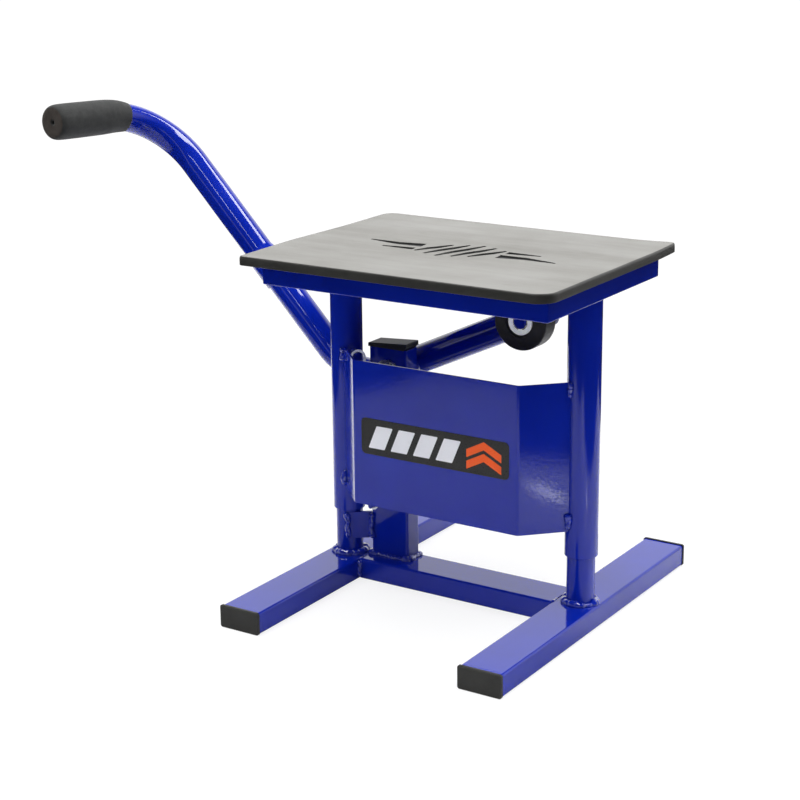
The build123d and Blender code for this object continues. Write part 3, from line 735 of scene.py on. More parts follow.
def weld_wings():
    """Beads where each wing of the cover plate meets its sleeve."""
    plate = box_of("cover_plate")
    bottom, top = plate.low.z, plate.high.z
    wing = Vector((WING_END[0] - WING_START[0], WING_END[1] - WING_START[1], 0)).normalized()
    for (side, sign), sleeve in zip(SIDES, (left_sleeve, right_sleeve)):
        along = Vector((sign * wing.x, wing.y, 0))
        start = Vector((sign * WING_START[0], WING_START[1], 0))
        # first crossing of the wing's line with the sleeve's circle
        offset = start - Vector((sleeve.mid.x, sleeve.mid.y, 0))
        half = offset.dot(along)
        root = math.sqrt(half * half - (offset.dot(offset) - sleeve_radius ** 2))
        hit = start + along * (-half - root)
        outward = Vector((sign * wing.y, -wing.x, 0))
        outer = hit + outward * 0.5 - along * 0.6
        inner = hit - outward * 2.6 - along * 0.8
        for part, z0, z1, seed in (("top", top - 13.5, top - 0.5, 83),
                                   ("bottom", bottom + 1.5, bottom + 16.5, 89)):
            path = [(outer.x, outer.y, z0),
                    (outer.x + outward.x * 0.4, outer.y + outward.y * 0.4, (z0 + z1) / 2),
                    (outer.x, outer.y, z1)]
            weld_bead(f"weld_wing_{part}_{side}", path, "table", radius=3.1, seed=seed + sign,
                      pitch=4.6, lump=0.38, wander=0.9)
            weld_bead(f"weld_wing_inside_{part}_{side}",
                      [(inner.x, inner.y, z0 + 2), (inner.x, inner.y, z1 - 1)], "table",
                      radius=1.7, seed=seed + 100 + sign, pitch=4.0, lump=0.3, wander=0.5)


def weld_spring_pins():
    upper_z = box_of("upper_spring_pin").mid.z
    upper = (Vector((left_sleeve.mid.x, left_sleeve.mid.y, upper_z))
             + upper_pin_dir * (sleeve_radius + 0.2))
    pin = box_of("lower_spring_pin")
    lower = (pin.mid.x, pin.high.y - 0.2, pin.mid.z)
    for name, root, across, body, seed in (
            ("weld_upper_pin", upper, upper_pin_dir.cross(Z), "table", 97),
            ("weld_lower_pin", lower, X, "base", 98)):
        weld_bead(name, circle(root, 2.5, across, Z, count=32), body, radius=1.2, seed=seed,
                  pitch=3.0, lump=0.3, wander=0.3, closed=True)


def weld_roller_rail():
    """Stitch welds along the front (a) and back (b) of the rail under the tray."""
    rail = box_of("roller_track")
    z = rail.high.z - 0.6
    for i, x in enumerate((-70, -22, 26, 62)):
        for j, (tag, y) in enumerate((("a", rail.low.y - 0.3), ("b", rail.high.y + 0.3))):
            weld_bead(f"weld_rail_{i}{tag}", [(x - 8, y, z), (x + 8, y, z)], "table",
                      radius=1.7, seed=110 + i * 2 + j, pitch=3.6, lump=0.25, wander=0.4)


weld_sleeves()
weld_wings()
weld_spring_pins()
weld_roller_rail()


# ============================================================ welds of the lever
def weld_hub():
    """Saddle-shaped beads where the two tubes run into the round hub."""
    hub = box_of("lever_hub")
    hub_radius = (hub.high.x - hub.low.x) / 2
    arm = Vector((ROLLER_X / MM - hub.mid.x, 0, ROLLER_Z / MM - hub.mid.z)).normalized()
    for name, along, seed in (("weld_hub_arm", arm, 131), ("weld_hub_lever", -arm, 137)):
        across = along.cross(Y)
        path = []
        for k in range(72):
            angle = 2 * math.pi * k / 72
            side = ARM_RADIUS * math.cos(angle)
            reach = math.sqrt(hub_radius ** 2 - side ** 2)
            path.append(hub.mid + along * (reach + 0.5) + across * (side * 1.03)
                        + Y * (ARM_RADIUS * math.sin(angle)))
        weld_bead(name, path, "lever", radius=2.3, seed=seed, pitch=4.4, lump=0.26, wander=0.6,
                  closed=True)


def weld_axle():
    axle = box_of("roller_axle").mid
    centre = (axle.x, LEVER_Y + ARM_RADIUS + 0.1, axle.z)
    weld_bead("weld_axle_back", circle(centre, 6.3, X, Z, count=40), "lever", radius=1.6,
              seed=141, pitch=3.6, lump=0.25, wander=0.4, closed=True)


weld_hub()
weld_axle()


# ============================================================ flat outline helpers
def edges_of(outline):
    return zip(outline, outline[1:] + outline[:1])


def turns_left(outline):
    """True for an outline that runs anticlockwise, by twice its area."""
    return sum(a[0] * b[1] - b[0] * a[1] for a, b in edges_of(outline)) > 0


def stroke(points, start_width, end_width, ends):
    """Outline of a mitred line between two widths. ends scales the width at the tips."""
    count = len(points)
    points = [Vector(p) for p in points]
    left, right = [], []
    for i in range(count):
        half = (start_width + (end_width - start_width) * i / (count - 1)) / 2
        if i == 0:
            half *= ends[0]
        if i == count - 1:
            half *= ends[1]
        before = (points[i] - points[i - 1] if i > 0 else points[1] - points[0]).normalized()
        after = (points[i + 1] - points[i]).normalized() if i < count - 1 else before
        tangent = (before + after).normalized()
        normal = Vector((-tangent.y, tangent.x))
        mitre = half / max(0.35, normal.dot(Vector((-after.y, after.x))))
        left.append(points[i] + normal * mitre)
        right.append(points[i] - normal * mitre)
    return [tuple(p) for p in left] + [tuple(p) for p in reversed(right)]


def shrink(outline, distance):
    """Moves each corner of a simple outline inwards."""
    sign = 1 if turns_left(outline) else -1
    out = []
    for i in range(len(outline)):
        before, point = Vector(outline[i - 1]), Vector(outline[i])
        after = Vector(outline[(i + 1) % len(outline)])
        dir_in, dir_out = (point - before).normalized(), (after - point).normalized()
        normal_in = Vector((-dir_in.y, dir_in.x)) * sign
        normal_out = Vector((-dir_out.y, dir_out.x)) * sign
        mitre = normal_in + normal_out
        mitre = mitre.normalized() if mitre.length > 1e-6 else normal_in
        out.append(tuple(point + mitre * (distance / max(0.45, mitre.dot(normal_out)))))
    return out


def inside(outline, x, y):
    result = False
    j = len(outline) - 1
    for i in range(len(outline)):
        xi, yi, xj, yj = outline[i][0], outline[i][1], outline[j][0], outline[j][1]
        if (yi > y) != (yj > y) and x < (xj - xi) * (y - yi) / (yj - yi) + xi:
            result = not result
        j = i
    return result


def distance_to(outline, x, y):
    best = 1e9
    for (ax, ay), (bx, by) in edges_of(outline):
        dx, dy = bx - ax, by - ay
        t = max(0, min(1, ((x - ax) * dx + (y - ay) * dy) / (dx * dx + dy * dy + 1e-12)))
        best = min(best, math.hypot(x - ax - t * dx, y - ay - t * dy))
    return best


# ============================================================ rubber mat
mat_box = box_of("rubber_mat")
MAT_X0, MAT_Y0, MAT_Z0 = mat_box.low
MAT_X1, MAT_Y1, MAT_Z1 = mat_box.high
MAT_CORNERS = (18.0, 7.0, 12.0, 5.0)    # radii: front right, back right, back left, front left
GRID_MARGIN = 8                         # from the mat's edge to the first inner points
GROOVE_DEPTH = 1.5
GROOVE_SLOPE = 0.42                     # how far a groove's floor is inset from its lip
GROOVE_CENTRE = (3.0, -6.0)

# edge section from the underside up: inset, height on a mat 8 thick
MAT_SECTION = (
    (0.40, 0.0), (0.10, 0.16), (0.0, 0.6), (0.0, 2.6), (0.05, 5.0), (0.18, 6.5),
    (0.48, 7.35), (0.95, 7.80), (1.55, 7.96), (2.4, 8.0))

# tapered grooves: centre line, width at its start, width at its end, scale of both tips
GROOVE_LINES = (
    ([(-96, 5), (-66, 1.5), (-40, 4.5)], 4.0, 13.0, (0.6, 1.0)),
    ([(96, -5), (66, -1.5), (40, -4.5)], 4.0, 13.0, (0.6, 1.0)),
    ([(-72, -14), (-56, -13), (-40, -12)], 3.6, 8.0, (0.7, 1.0)),
    ([(72, 14), (56, 13), (40, 12)], 3.6, 8.0, (0.7, 1.0)))

# fan of slanted bars: middle x, half height
GROOVE_BARS = ((-27, 18.0), (-13.5, 24.0), (0, 28.0), (13.5, 24.0), (27, 18.0))


def mat_outline(inset):
    """The mat's outline moved inwards, with the same number of points at every inset."""
    x0, x1, y0, y1 = MAT_X0 + inset, MAT_X1 - inset, MAT_Y0 + inset, MAT_Y1 - inset
    arc = 14
    corners = []
    for corner_radius, corner_x, corner_y, start in zip(
            MAT_CORNERS, (x1, x1, x0, x0), (y0, y1, y1, y0), (-90, 0, 90, 180)):
        radius = max(0.8, corner_radius - inset)
        centre_x = corner_x + (radius if corner_x == x0 else -radius)
        centre_y = corner_y + (radius if corner_y == y0 else -radius)
        for k in range(arc + 1):
            angle = math.radians(start + 90 * k / arc)
            corners.append((centre_x + radius * math.cos(angle),
                            centre_y + radius * math.sin(angle)))
    out = []
    per_corner = arc + 1
    for q in range(4):
        following = (q + 1) * per_corner
        out += corners[q * per_corner:following]
        a, b = corners[following - 1], corners[following % (4 * per_corner)]
        steps = 70 if q in (1, 3) else 54       # back and front edge, or right and left
        for k in range(1, steps):
            t = k / steps
            out.append((a[0] + (b[0] - a[0]) * t, a[1] + (b[1] - a[1]) * t))
    return out


def mat_lift(x, y):
    """The back right corner curls up a little and the left edge bows."""
    curl = 1.4 * max(0.0, 1 - math.hypot(x - MAT_X1, y - MAT_Y1) / 50.0) ** 2
    bow = 0.9 * max(0.0, 1 - math.hypot(x - MAT_X0, y - (MAT_Y0 + 80)) / 80.0)
    wave = 0.22 * noise.noise(Vector((x * 0.016, y * 0.018, 3.3)))
    edge = min(1.0, max(0.0, (abs(x) - 100) / 50.0))
    return curl + (bow + wave) * edge


def groove_outlines():
    """Lip and floor outline of every moulded groove."""
    lines = list(GROOVE_LINES)
    for x, y in GROOVE_BARS:
        lines.append(([(x - 9.0, -y), (x - 2.4, -y * 0.20), (x + 2.4, y * 0.20), (x + 9.0, y)],
                      7.2, 7.2, (0.45, 0.45)))
    grooves = []
    for points, start_width, end_width, ends in lines:
        placed = [(GROOVE_CENTRE[0] + x, GROOVE_CENTRE[1] + y) for x, y in points]
        lip = stroke(placed, start_width, end_width, ends)
        grooves.append((lip, shrink(lip, GROOVE_SLOPE)))
    return grooves


def mat_grid(columns, rows, inset):
    """Grid points that lie inside the outline at this inset."""
    limit = mat_outline(inset)
    for i in range(columns + 1):
        for j in range(rows + 1):
            x = MAT_X0 + GRID_MARGIN + (MAT_X1 - MAT_X0 - 2 * GRID_MARGIN) * i / columns
            y = MAT_Y0 + GRID_MARGIN + (MAT_Y1 - MAT_Y0 - 2 * GRID_MARGIN) * j / rows
            if inside(limit, x, y):
                yield x, y


def mat_top_plan(rim):
    """Points and fixed edges of the top face, and the indices of the groove floor points."""
    points = [Vector(p) for p in rim]
    edges = [(k, (k + 1) % len(rim)) for k in range(len(rim))]
    floor_points = set()
    grooves = groove_outlines()
    for lip, floor in grooves:
        for outline in (lip, floor):
            dense = []
            for a, b in edges_of(outline):
                steps = max(1, int(math.hypot(b[0] - a[0], b[1] - a[1]) / 3.0))
                for k in range(steps):
                    dense.append(Vector((a[0] + (b[0] - a[0]) * k / steps,
                                         a[1] + (b[1] - a[1]) * k / steps)))
            start = len(points)
            points += dense
            if outline is floor:
                floor_points.update(range(start, len(points)))
            for k in range(len(dense)):
                edges.append((start + k, start + (k + 1) % len(dense)))
    spacing = 5.0
    columns = int((MAT_X1 - MAT_X0 - 2 * GRID_MARGIN) / spacing)
    rows = int((MAT_Y1 - MAT_Y0 - 2 * GRID_MARGIN) / spacing)
    for x, y in mat_grid(columns, rows, inset=2 * MAT_SECTION[-1][0]):
        if not any(inside(lip, x, y) or distance_to(lip, x, y) < 1.6 for lip, _ in grooves):
            points.append(Vector((x, y)))
    return points, edges, floor_points


def build_mat():
    rings = [mat_outline(inset) for inset, _ in MAT_SECTION]
    count = len(rings[0])
    thickness = MAT_Z1 - MAT_Z0
    verts, faces = [], []
    for (_, height), ring in zip(MAT_SECTION, rings):
        for x, y in ring:
            z = MAT_Z0 + height * thickness / 8.0 + mat_lift(x, y)
            verts.append(Vector((x, y, z)))
    groove = [0.0] * len(verts)
    for i in range(len(rings) - 1):
        for k in range(count):
            a, b = i * count + k, i * count + (k + 1) % count
            faces.append((a, b, b + count, a + count))

    def fill(points, edges, rim_start, base_z, direction, floor_points=(), within=None):
        """Triangulates a flat face. The first points lie on the ring from rim_start on.

        direction is 1 for faces that look up and -1 for faces that look down.
        """
        flat, _, triangles, sources, _, _ = geometry.delaunay_2d_cdt(points, edges, [], 0, 1e-4)
        index = []
        for point, source in zip(flat, sources):
            on_rim = next((s for s in source if s < count), None)
            if on_rim is not None:
                index.append(rim_start + on_rim)
                continue
            x, y = point.x, point.y
            deep = any(s in floor_points for s in source)
            index.append(len(verts))
            verts.append(Vector((x, y, base_z + mat_lift(x, y) - (GROOVE_DEPTH if deep else 0.0))))
            groove.append(1.0 if deep else 0.0)
        for triangle in triangles:
            if within:
                centre = sum((flat[i] for i in triangle), Vector((0, 0))) / len(triangle)
                if not inside(within, centre.x, centre.y):
                    continue
            face = tuple(index[i] for i in triangle)
            a, b, c = (verts[i] for i in face[:3])
            turn = (b.x - a.x) * (c.y - a.y) - (b.y - a.y) * (c.x - a.x)
            faces.append(tuple(reversed(face)) if turn * direction < 0 else face)

    points, edges, floor_points = mat_top_plan(rings[-1])
    fill(points, edges, rim_start=(len(rings) - 1) * count, base_z=MAT_Z1, direction=1,
         floor_points=floor_points, within=rings[-1])
    points = [Vector(p) for p in rings[0]]
    points += [Vector(p) for p in mat_grid(columns=26, rows=20, inset=4.0)]
    edges = [(k, (k + 1) % count) for k in range(count)]
    fill(points, edges, rim_start=0, base_z=MAT_Z0, direction=-1)

    mat = mesh_piece("mat", verts, faces, None, RUBBER, sharp=38)
    attribute = mat.data.attributes.new("groove", "FLOAT", "POINT")
    attribute.data.foreach_set("value", groove)
    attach(mat, "table")
    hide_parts("rubber_mat")


build_mat()


# ============================================================ foam grip
LEVER_SLOPE = math.radians(46.29)
GRIP_CORNER = Vector((-369.1, LEVER_Y, 415.3))      # where both straight centre lines cross
BEND_RADIUS = 70.8
BORE_RADIUS = 13.3

# distance along the centre line from the end of the bend (negative in the bend), radius:
# a thin stretched lip, the body, the rounded end and its small centre dimple
GRIP_SECTION = (
    (-20.4, 13.35), (-20.3, 13.62), (-19.7, 13.86), (-18.2, 14.12), (-16.2, 14.42),
    (-13.7, 14.80), (-11.0, 15.14), (-8.0, 15.42), (-4.0, 15.72), (0.0, 15.98), (4.0, 16.18),
    (9.0, 16.38), (16.0, 16.50), (26.0, 16.56), (38.0, 16.62), (50.0, 16.66), (60.0, 16.62),
    (64.5, 16.42), (67.0, 15.95), (68.6, 15.20), (69.5, 14.20), (69.9, 13.0), (70.0, 11.4),
    (69.9, 9.0), (69.75, 6.4), (69.6, 4.2), (69.45, 3.0), (69.1, 2.35), (68.2, 1.95),
    (66.6, 1.75), (66.2, 1.2), (66.1, 0.0))


def build_grip():
    run = Vector((-math.cos(LEVER_SLOPE), 0, math.sin(LEVER_SLOPE)))
    turn = run.angle(GRIP_DIR)
    to_centre = (GRIP_DIR - run).normalized()
    bend_centre = GRIP_CORNER + to_centre * (BEND_RADIUS / math.cos(turn / 2))
    bend_end = GRIP_CORNER + GRIP_DIR * (BEND_RADIUS * math.tan(turn / 2))
    radial = (bend_end - bend_centre).normalized()
    sides = 64
    verts, faces = [], []

    def centre_at(distance):
        if distance >= 0:
            return bend_end + GRIP_DIR * distance
        angle = distance / BEND_RADIUS
        return (bend_centre + radial * (BEND_RADIUS * math.cos(angle))
                + GRIP_DIR * (BEND_RADIUS * math.sin(angle)))

    def frame_at(distance, across, reach=0.01):
        """Centre and two cross directions. reach is the half step for the tangent."""
        tangent = (centre_at(distance + reach) - centre_at(distance - reach)).normalized()
        across = (across - tangent * across.dot(tangent)).normalized()
        return centre_at(distance), across, tangent.cross(across)

    def add_ring(centre, across, other, radius, lumpy=False):
        start = len(verts)
        for k in range(sides):
            angle = 2 * math.pi * k / sides
            uneven = radius
            if lumpy:
                spot = centre + across * math.cos(angle) * 10 + other * math.sin(angle) * 10
                uneven += 0.10 * noise.noise(spot * 0.09) + 0.05 * noise.noise(spot * 0.22)
            verts.append(centre + across * (math.cos(angle) * uneven)
                         + other * (math.sin(angle) * uneven))
        return start

    def join_rings(first, second):
        for k in range(sides):
            k_next = (k + 1) % sides
            faces.append((first + k, first + k_next, second + k_next, second + k))

    across = radial.copy()
    for distance, radius in GRIP_SECTION[:-1]:
        centre, across, other = frame_at(distance, across)
        add_ring(centre, across, other, radius, lumpy=distance > -20 and radius > 12)
    tip = len(verts)
    verts.append(centre_at(GRIP_SECTION[-1][0]))
    last = tip - sides
    for start in range(0, last, sides):
        join_rings(start, start + sides)
    for k in range(sides):
        faces.append((last + k, last + (k + 1) % sides, tip))
    # the inner lip closes on the tube, out of sight
    centre, across, other = frame_at(-19.4, radial, reach=0.1)
    previous = add_ring(centre, across, other, BORE_RADIUS)
    join_rings(previous, 0)
    # bore, so that the grip is a sleeve with a closed end
    for distance in (-10.0, 0.0, 20.0, 40.0, 60.6):
        centre, across, other = frame_at(distance, across)
        current = add_ring(centre, across, other, BORE_RADIUS)
        join_rings(current, previous)
        previous = current
    faces.append(tuple(previous + k for k in range(sides)))

    grip = mesh_piece("grip_foam_sleeve", verts, faces, "lever", FOAM, sharp=60)
    edit = bmesh.new()
    edit.from_mesh(grip.data)
    bmesh.ops.recalc_face_normals(edit, faces=edit.faces)
    edit.to_mesh(grip.data)
    edit.free()
    add_subdivision(grip)
    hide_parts("grip")


build_grip()


# ============================================================ hold-down spring
def build_spring():
    """Close-wound wire with a loop at each end, each loop square to its pin."""
    wire, coil_radius, low_loop, top_loop = 1.05, 5.4, 5.2, 6.8     # radii
    gap, coil_pitch = 0.6, 2.06         # gap between loop and coil
    loop_steps, turn_steps, ease_steps = 40, 20, 14
    length = (SPRING_TOP - SPRING_LOW).length
    axis = (SPRING_TOP - SPRING_LOW).normalized()
    leave_top = axis.cross(upper_pin_dir).normalized()
    leave_low = axis.cross(Vector((0, -1, 0))).normalized()
    across = leave_low.cross(axis).normalized()
    other = axis.cross(across).normalized()

    def coil_angle(tangent):
        """Angle at which the coil runs along this tangent."""
        return math.atan2(-tangent.dot(across), tangent.dot(other))

    def loop_point(centre, radius, angle, side, coil_at, out):
        """A point of an end loop. out moves it from the axis (0) to the coil's radius (1)."""
        radial = across * math.cos(coil_at) + other * math.sin(coil_at)
        tangent = other * math.cos(coil_at) - across * math.sin(coil_at)
        return (centre + tangent * (side * radius * math.cos(angle))
                + axis * (radius * math.sin(angle)) + radial * (coil_radius * smoothstep(out)))

    coil_start, coil_end = low_loop + gap, length - top_loop - gap
    start_angle, end_angle = coil_angle(leave_low), coil_angle(leave_top)
    turns = round((coil_end - coil_start) / coil_pitch)
    sweep = end_angle - start_angle + 2 * math.pi * turns
    lead = math.radians(80)             # part of a loop that moves out to the coil
    points = []
    # lower loop, from its free end round to the coil
    for i in range(loop_steps + 1):
        angle = math.radians(-215 + i / loop_steps * 305)
        out = max(0.0, (angle - math.radians(10)) / lead)
        points.append(loop_point(SPRING_LOW, low_loop, angle, -1, start_angle, out))
    coil_steps = turns * turn_steps
    for i in range(1, coil_steps):
        t = i / coil_steps
        angle = start_angle + sweep * t
        # the first and last steps close the gap to the loops
        ease = min(1.0, i / ease_steps, (coil_steps - i) / ease_steps)
        shift = low_loop - coil_start if i < turn_steps else length - top_loop - coil_end
        along = coil_start + (coil_end - coil_start) * t + shift * (1 - ease)
        points.append(SPRING_LOW + axis * along + across * (coil_radius * math.cos(angle))
                      + other * (coil_radius * math.sin(angle)))
    # upper loop, from the coil round to its free end
    for i in range(loop_steps + 1):
        angle = math.radians(-90 + i / loop_steps * 300)
        out = 1 - min(1.0, (angle + math.pi / 2) / lead)
        points.append(loop_point(SPRING_TOP, top_loop, angle, 1, end_angle, out))

    verts, faces = sweep_rings(points, lambda i, angle: (wire, wire), sides=10, up=across)
    spring = mesh_piece("spring_wire", verts, faces, None, ZINC_WIRE)
    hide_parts("hold_down_spring")
    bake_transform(spring)


build_spring()

# ============================================================ label print
INK_THICKNESS = 0.06
label = box_of("decal")


def flat_shape(name, outline, material):
    """A thin print on the label's front, facing -Y. The outline is in X and Z."""
    if not turns_left(outline):
        outline = outline[::-1]
    y = label.low.y
    count = len(outline)
    verts = [(x, y - INK_THICKNESS, z) for x, z in outline] + [(x, y, z) for x, z in outline]
    faces = [tuple(range(count)), tuple(range(2 * count - 1, count - 1, -1))]
    for k in range(count):
        k_next = (k + 1) % count
        faces.append((k_next, k, k + count, k_next + count))
    mesh_piece(name, verts, faces, "table", material, smooth=False)


def rounded_poly(points, radius, segments=4):
    out = []
    for i in range(len(points)):
        before, corner = Vector(points[i - 1]), Vector(points[i])
        after = Vector(points[(i + 1) % len(points)])
        back, ahead = (before - corner).normalized(), (after - corner).normalized()
        cut = min(radius / math.tan(back.angle(ahead) / 2),
                  0.45 * min((before - corner).length, (after - corner).length))
        start, end = corner + back * cut, corner + ahead * cut
        for k in range(segments + 1):
            t = k / segments
            point = start.lerp(corner, t).lerp(corner.lerp(end, t), t)
            out.append((point.x, point.y))
    return out


def print_bars():
    first_x, spacing, width, half = -64.0, 23.5, 17.0, 10.6     # half is half the height
    lean = 0.42 * half
    low, high = label.mid.z - half, label.mid.z + half
    for i in range(4):
        x = first_x + spacing * i
        points = [(x - lean, low), (x + width - lean, low), (x + width + lean, high),
                  (x + lean, high)]
        flat_shape(f"label_bar_{i}", rounded_poly(points, 0.8), INK_WHITE)


def print_chevrons():
    x, half_width, rise, band = 51.0, 17.5, 9.0, 7.4
    for i, offset in enumerate((-8.8, 1.8)):
        low = label.mid.z + offset - rise / 2
        high = label.mid.z + offset + rise / 2
        points = [(x - half_width, low), (x, high), (x + half_width, low),
                  (x + half_width, low + band), (x, high + band), (x - half_width, low + band)]
        flat_shape(f"label_chevron_{i}", rounded_poly(points, 0.5), INK_ORANGE)


print_bars()
print_chevrons()

# ============================================================ floor (metres)
SHEET_LEFT, SHEET_RIGHT, SHEET_FRONT, SHEET_BACK = -0.735, 0.60, -0.72, 0.60
LEFT_SKEW, RIGHT_SKEW = 0.44, 0.25      # how far the side edges spread per metre of y
FLOOR_HALF = 24.0


def floor_hot_patch(m, x, y):
    """A small slanted patch in front on the right that is bright in reflections."""
    cos_turn, sin_turn = 0.845, 0.535
    centre_u, centre_w = 0.462, 0.063
    slant, shift_w = 1.25, 0.001
    half_u, half_w = 0.019, 0.022
    u = m.sub(m.sub(m.mul(x, cos_turn), m.mul(y, sin_turn)), centre_u)
    w = m.sub(m.add(m.mul(x, sin_turn), m.mul(y, cos_turn)), centre_w)
    u = m.mul(m.add(u, m.mul(w, slant)), 1 / half_u)
    w = m.mul(m.add(w, shift_w), 1 / half_w)
    return m.remap(m.length(u, w), (0.35, 1.25), to=(1.0, 0.0))


def floor_reflection_level(m, x, y):
    """How strongly each part of the sheet shows in reflections."""
    glow_x, glow_y = 0.44, -0.17
    glow = m.length(m.sub(x, glow_x), m.add(y, -glow_y))
    front = m.add(m.remap(x, (0.18, 0.38), to=(0.50, 0.68)),
                  m.remap(glow, (0.04, 0.17), to=(0.14, 0.0)))
    back = m.mul(m.remap(y, (-0.16, 0.02), to=(0.0, 0.95)),
                 m.remap(x, (0.20, 0.34), to=(1.0, 0.76)))
    return m.larger(front, back)


def make_floor_material():
    m = Material("studio_floor")
    light_path = m.new("ShaderNodeLightPath")
    seen, glossy = light_path.outputs["Is Camera Ray"], light_path.outputs["Is Glossy Ray"]
    x, y, _ = m.split(m.coords)
    # a white sheet on a darker floor, whose end only light and reflections see
    wobble = m.blotch(scale=2.6, detail=2, rough=0.5, to=(-0.03, 0.03))
    right = m.add(SHEET_RIGHT, m.mul(y, RIGHT_SKEW))
    left = m.sub(SHEET_LEFT, m.mul(y, LEFT_SKEW))
    beyond_x = m.larger(m.sub(x, right), m.sub(left, x))
    beyond_y = m.larger(m.sub(y, SHEET_BACK), m.sub(SHEET_FRONT, y))
    beyond = m.add(m.larger(beyond_x, beyond_y), wobble)
    sheet = m.remap(beyond, (-0.030, 0.030), to=(1.0, 0.030))
    hot = floor_hot_patch(m, x, y)
    # the level holds for reflections only
    level = m.invert(m.mul(glossy, m.invert(floor_reflection_level(m, x, y))))
    soft = m.blotch(scale=2.0, detail=3, rough=0.5, to=(0.97, 1.0))
    shade = m.larger(m.mul(m.mul(sheet, level), soft), m.mul(seen, soft))
    m.set(color=m.mix(shade, (0.0, 0.0, 0.0), (0.90, 0.90, 0.91)), rough=0.6, spec=0.0)
    # away from the stand's footprint the camera sees an evenly lit white backdrop
    foot_x, foot_y = 0.14, 0.17
    away_x = m.larger(m.sub(m.math("ABSOLUTE", x), foot_x), 0.0)
    away_y = m.larger(m.sub(m.math("ABSOLUTE", y), foot_y), 0.0)
    away = m.length(away_x, away_y)
    backdrop, hot_boost, hot_share = 1.05, 7.0, 0.75    # strengths, and the most hot glow mixed in
    emission = m.new("ShaderNodeEmission")
    m.feed(emission.inputs["Color"], (1, 1, 1))
    m.feed(emission.inputs["Strength"], m.add(backdrop, m.mul(glossy, hot_boost)))
    far = m.mul(seen, m.remap(away, (0.06, 0.45), to=(0.76, 1.0)))
    spark = m.mul(glossy, m.mul(hot, hot_share))
    m.feed(m.surface, m.mix_shaders(m.larger(far, spark), m.principled.outputs[0],
                                    emission.outputs[0]))
    return m.material


def build_floor():
    material = make_floor_material()
    mesh = bpy.data.meshes.new("floor")
    s = FLOOR_HALF
    mesh.from_pydata([(-s, -s, 0), (s, -s, 0), (s, s, 0), (-s, s, 0)], [], [(0, 1, 2, 3)])
    mesh.materials.append(material)
    floor = bpy.data.objects.new("floor", mesh)
    scene.collection.objects.link(floor)
    floor.location.z = -0.0002


build_floor()


# ============================================================ lights (metres, watts)
def area_light(name, location, rotation, width, length, energy, in_reflections):
    """A rectangular lamp that either shows in reflections or lights surfaces, never both."""
    lamp = bpy.data.lights.new(name, "AREA")
    lamp.shape = "RECTANGLE"
    lamp.size, lamp.size_y = width, length
    lamp.energy = energy
    light = bpy.data.objects.new(name, lamp)
    scene.collection.objects.link(light)
    light.location = location
    light.rotation_mode = "QUATERNION"
    light.rotation_quaternion = rotation
    light.visible_camera = False
    light.visible_glossy = in_reflections
    light.visible_diffuse = not in_reflections


def softbox(name, location, target, size, energy):
    rotation = (Vector(target) - Vector(location)).to_track_quat("-Z", "Y")
    area_light(name, location, rotation, size, size, energy, in_reflections=False)


def strip(name, location, direction, length, width, radiance):
    """A ceiling lamp for reflections, its length running along direction (x, y)."""
    angle = math.atan2(direction[1], direction[0]) - math.pi / 2
    rotation = Matrix.Rotation(angle, 3, "Z").to_quaternion()
    area_light(name, location, rotation, width, length, radiance * math.pi * length * width,
               in_reflections=True)


softbox("key_soft", location=(-1.2, -1.6, 2.2), target=(0, 0, 0.15), size=1.6, energy=14)
softbox("top_soft", location=(0.2, 0.2, 3.0), target=(0, 0, 0.1), size=3.0, energy=150)
# a long box overhead and behind draws the bright line down the sloping tube
strip("ceiling_box", location=(0.88, 0.874, 2.26), direction=(-0.50, 0.866), length=1.8,
      width=0.34, radiance=13.0)
strip("panel_left", location=(-0.80, -0.30, 2.30), direction=(1, 0), length=0.9, width=0.30,
      radiance=14.0)
# narrow lamps give the fine lines and dashes on the bends and welds
strip("ceiling_front", location=(0.42, -2.55, 2.26), direction=(0.25, -0.97), length=1.9,
      width=0.12, radiance=10.0)
# place (x, y) and direction of the small lamps
SMALL_LAMPS = (((-0.75, -0.55), (1, 0.2)), ((0.10, -0.95), (1, -0.1)),
               ((-1.35, 0.75), (0.3, 1)), ((-0.35, 0.95), (1, 0.3)))
for lamp_index, (lamp_place, lamp_direction) in enumerate(SMALL_LAMPS):
    strip(f"lamp_{lamp_index}", location=(*lamp_place, 2.30), direction=lamp_direction,
          length=0.55, width=0.07, radiance=9.0)


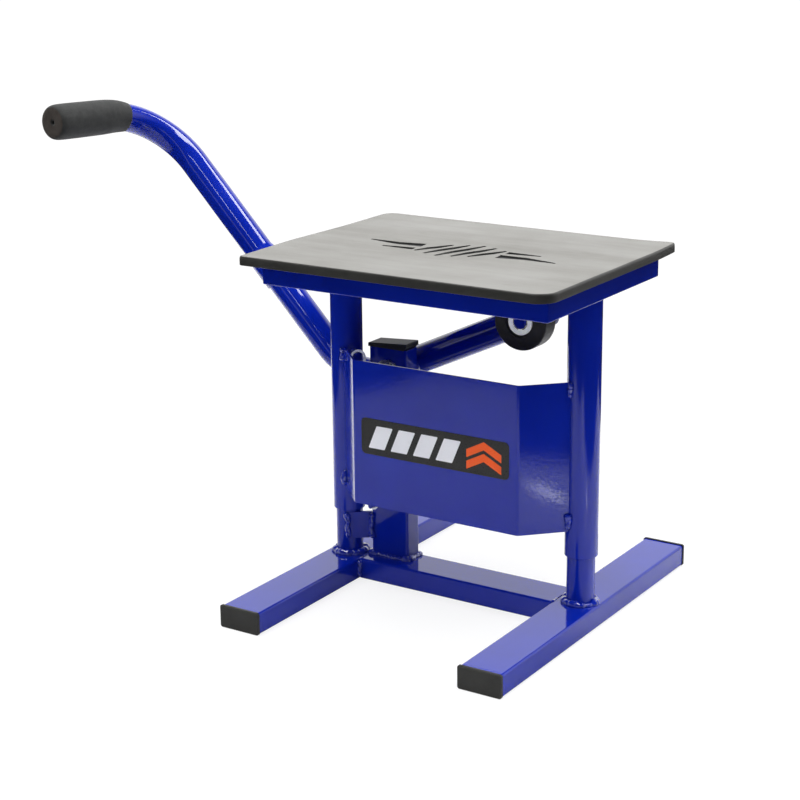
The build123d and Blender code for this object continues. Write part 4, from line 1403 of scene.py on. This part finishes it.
# ============================================================ world
def build_world():
    world = bpy.data.worlds.new("studio")
    scene.world = world
    world.use_nodes = True
    w = Nodes(world.node_tree)
    output = w.new("ShaderNodeOutputWorld")
    light_path = w.new("ShaderNodeLightPath")
    x, y, z = w.split(w.new("ShaderNodeTexCoord").outputs["Generated"])

    def fade(value, span, to=(0.0, 1.0)):
        return w.remap(value, span, to, smooth=True)

    def background(color, strength):
        node = w.new("ShaderNodeBackground")
        w.feed(node.inputs["Color"], color)
        w.feed(node.inputs["Strength"], strength)
        return node.outputs[0]

    # shares of the left wall and the windows, and strengths of the walls and the dark room
    left_share, window_share, wall_strength, room_strength = 0.45, 0.9, 1.28, 0.03
    diffuse = background((0.97, 0.985, 1.0), fade(z, (0.0, 0.9), to=(0.16, 0.50)))
    # reflections: a bright wall behind the stand above the horizon, a dark room elsewhere
    back_wall = w.mul(fade(y, (0.05, 0.55)), fade(z, (0.75, 0.45)))
    left_wall = w.mul(fade(x, (-0.55, -0.85)), fade(z, (0.6, 0.3)))
    walls = w.mul(w.larger(back_wall, w.mul(left_wall, left_share)), fade(z, (-0.02, 0.06)))
    # a dim, low row of windows in front shows as faint lines on the round tubes
    windows = w.mul(fade(y, (-0.25, -0.45)), w.mul(fade(z, (0.07, 0.10)), fade(z, (0.20, 0.15))))
    strength = w.add(w.add(w.mul(walls, wall_strength), room_strength),
                     w.mul(windows, window_share))
    reflected = background((1, 1, 1), strength)
    seen = background((1, 1, 1), 1.05)
    lighting = w.mix_shaders(light_path.outputs["Is Glossy Ray"], diffuse, reflected)
    w.feed(output.inputs["Surface"],
           w.mix_shaders(light_path.outputs["Is Camera Ray"], lighting, seen))


build_world()


# ============================================================ camera
def build_camera():
    lens = bpy.data.cameras.new("camera")
    camera = bpy.data.objects.new("camera", lens)
    scene.collection.objects.link(camera)
    lens.lens = 84.0
    lens.sensor_width = 36.0
    lens.clip_start, lens.clip_end = 0.01, 100
    place = Vector((0.8250, -1.3691, 0.6521))
    # turned left from +Y, tilted down, and rolled
    turn, tilt, roll = math.radians(33.02), math.radians(16.24), math.radians(-0.58)
    forward = Vector((-math.sin(turn) * math.cos(tilt), math.cos(turn) * math.cos(tilt),
                      -math.sin(tilt)))
    level_right = Vector((math.cos(turn), math.sin(turn), 0))
    level_up = level_right.cross(forward)
    right = level_right * math.cos(roll) + level_up * math.sin(roll)
    up = -level_right * math.sin(roll) + level_up * math.cos(roll)
    rotation = Matrix((right, up, -forward)).transposed()
    camera.matrix_world = Matrix.Translation(place) @ rotation.to_4x4()
    scene.camera = camera


build_camera()
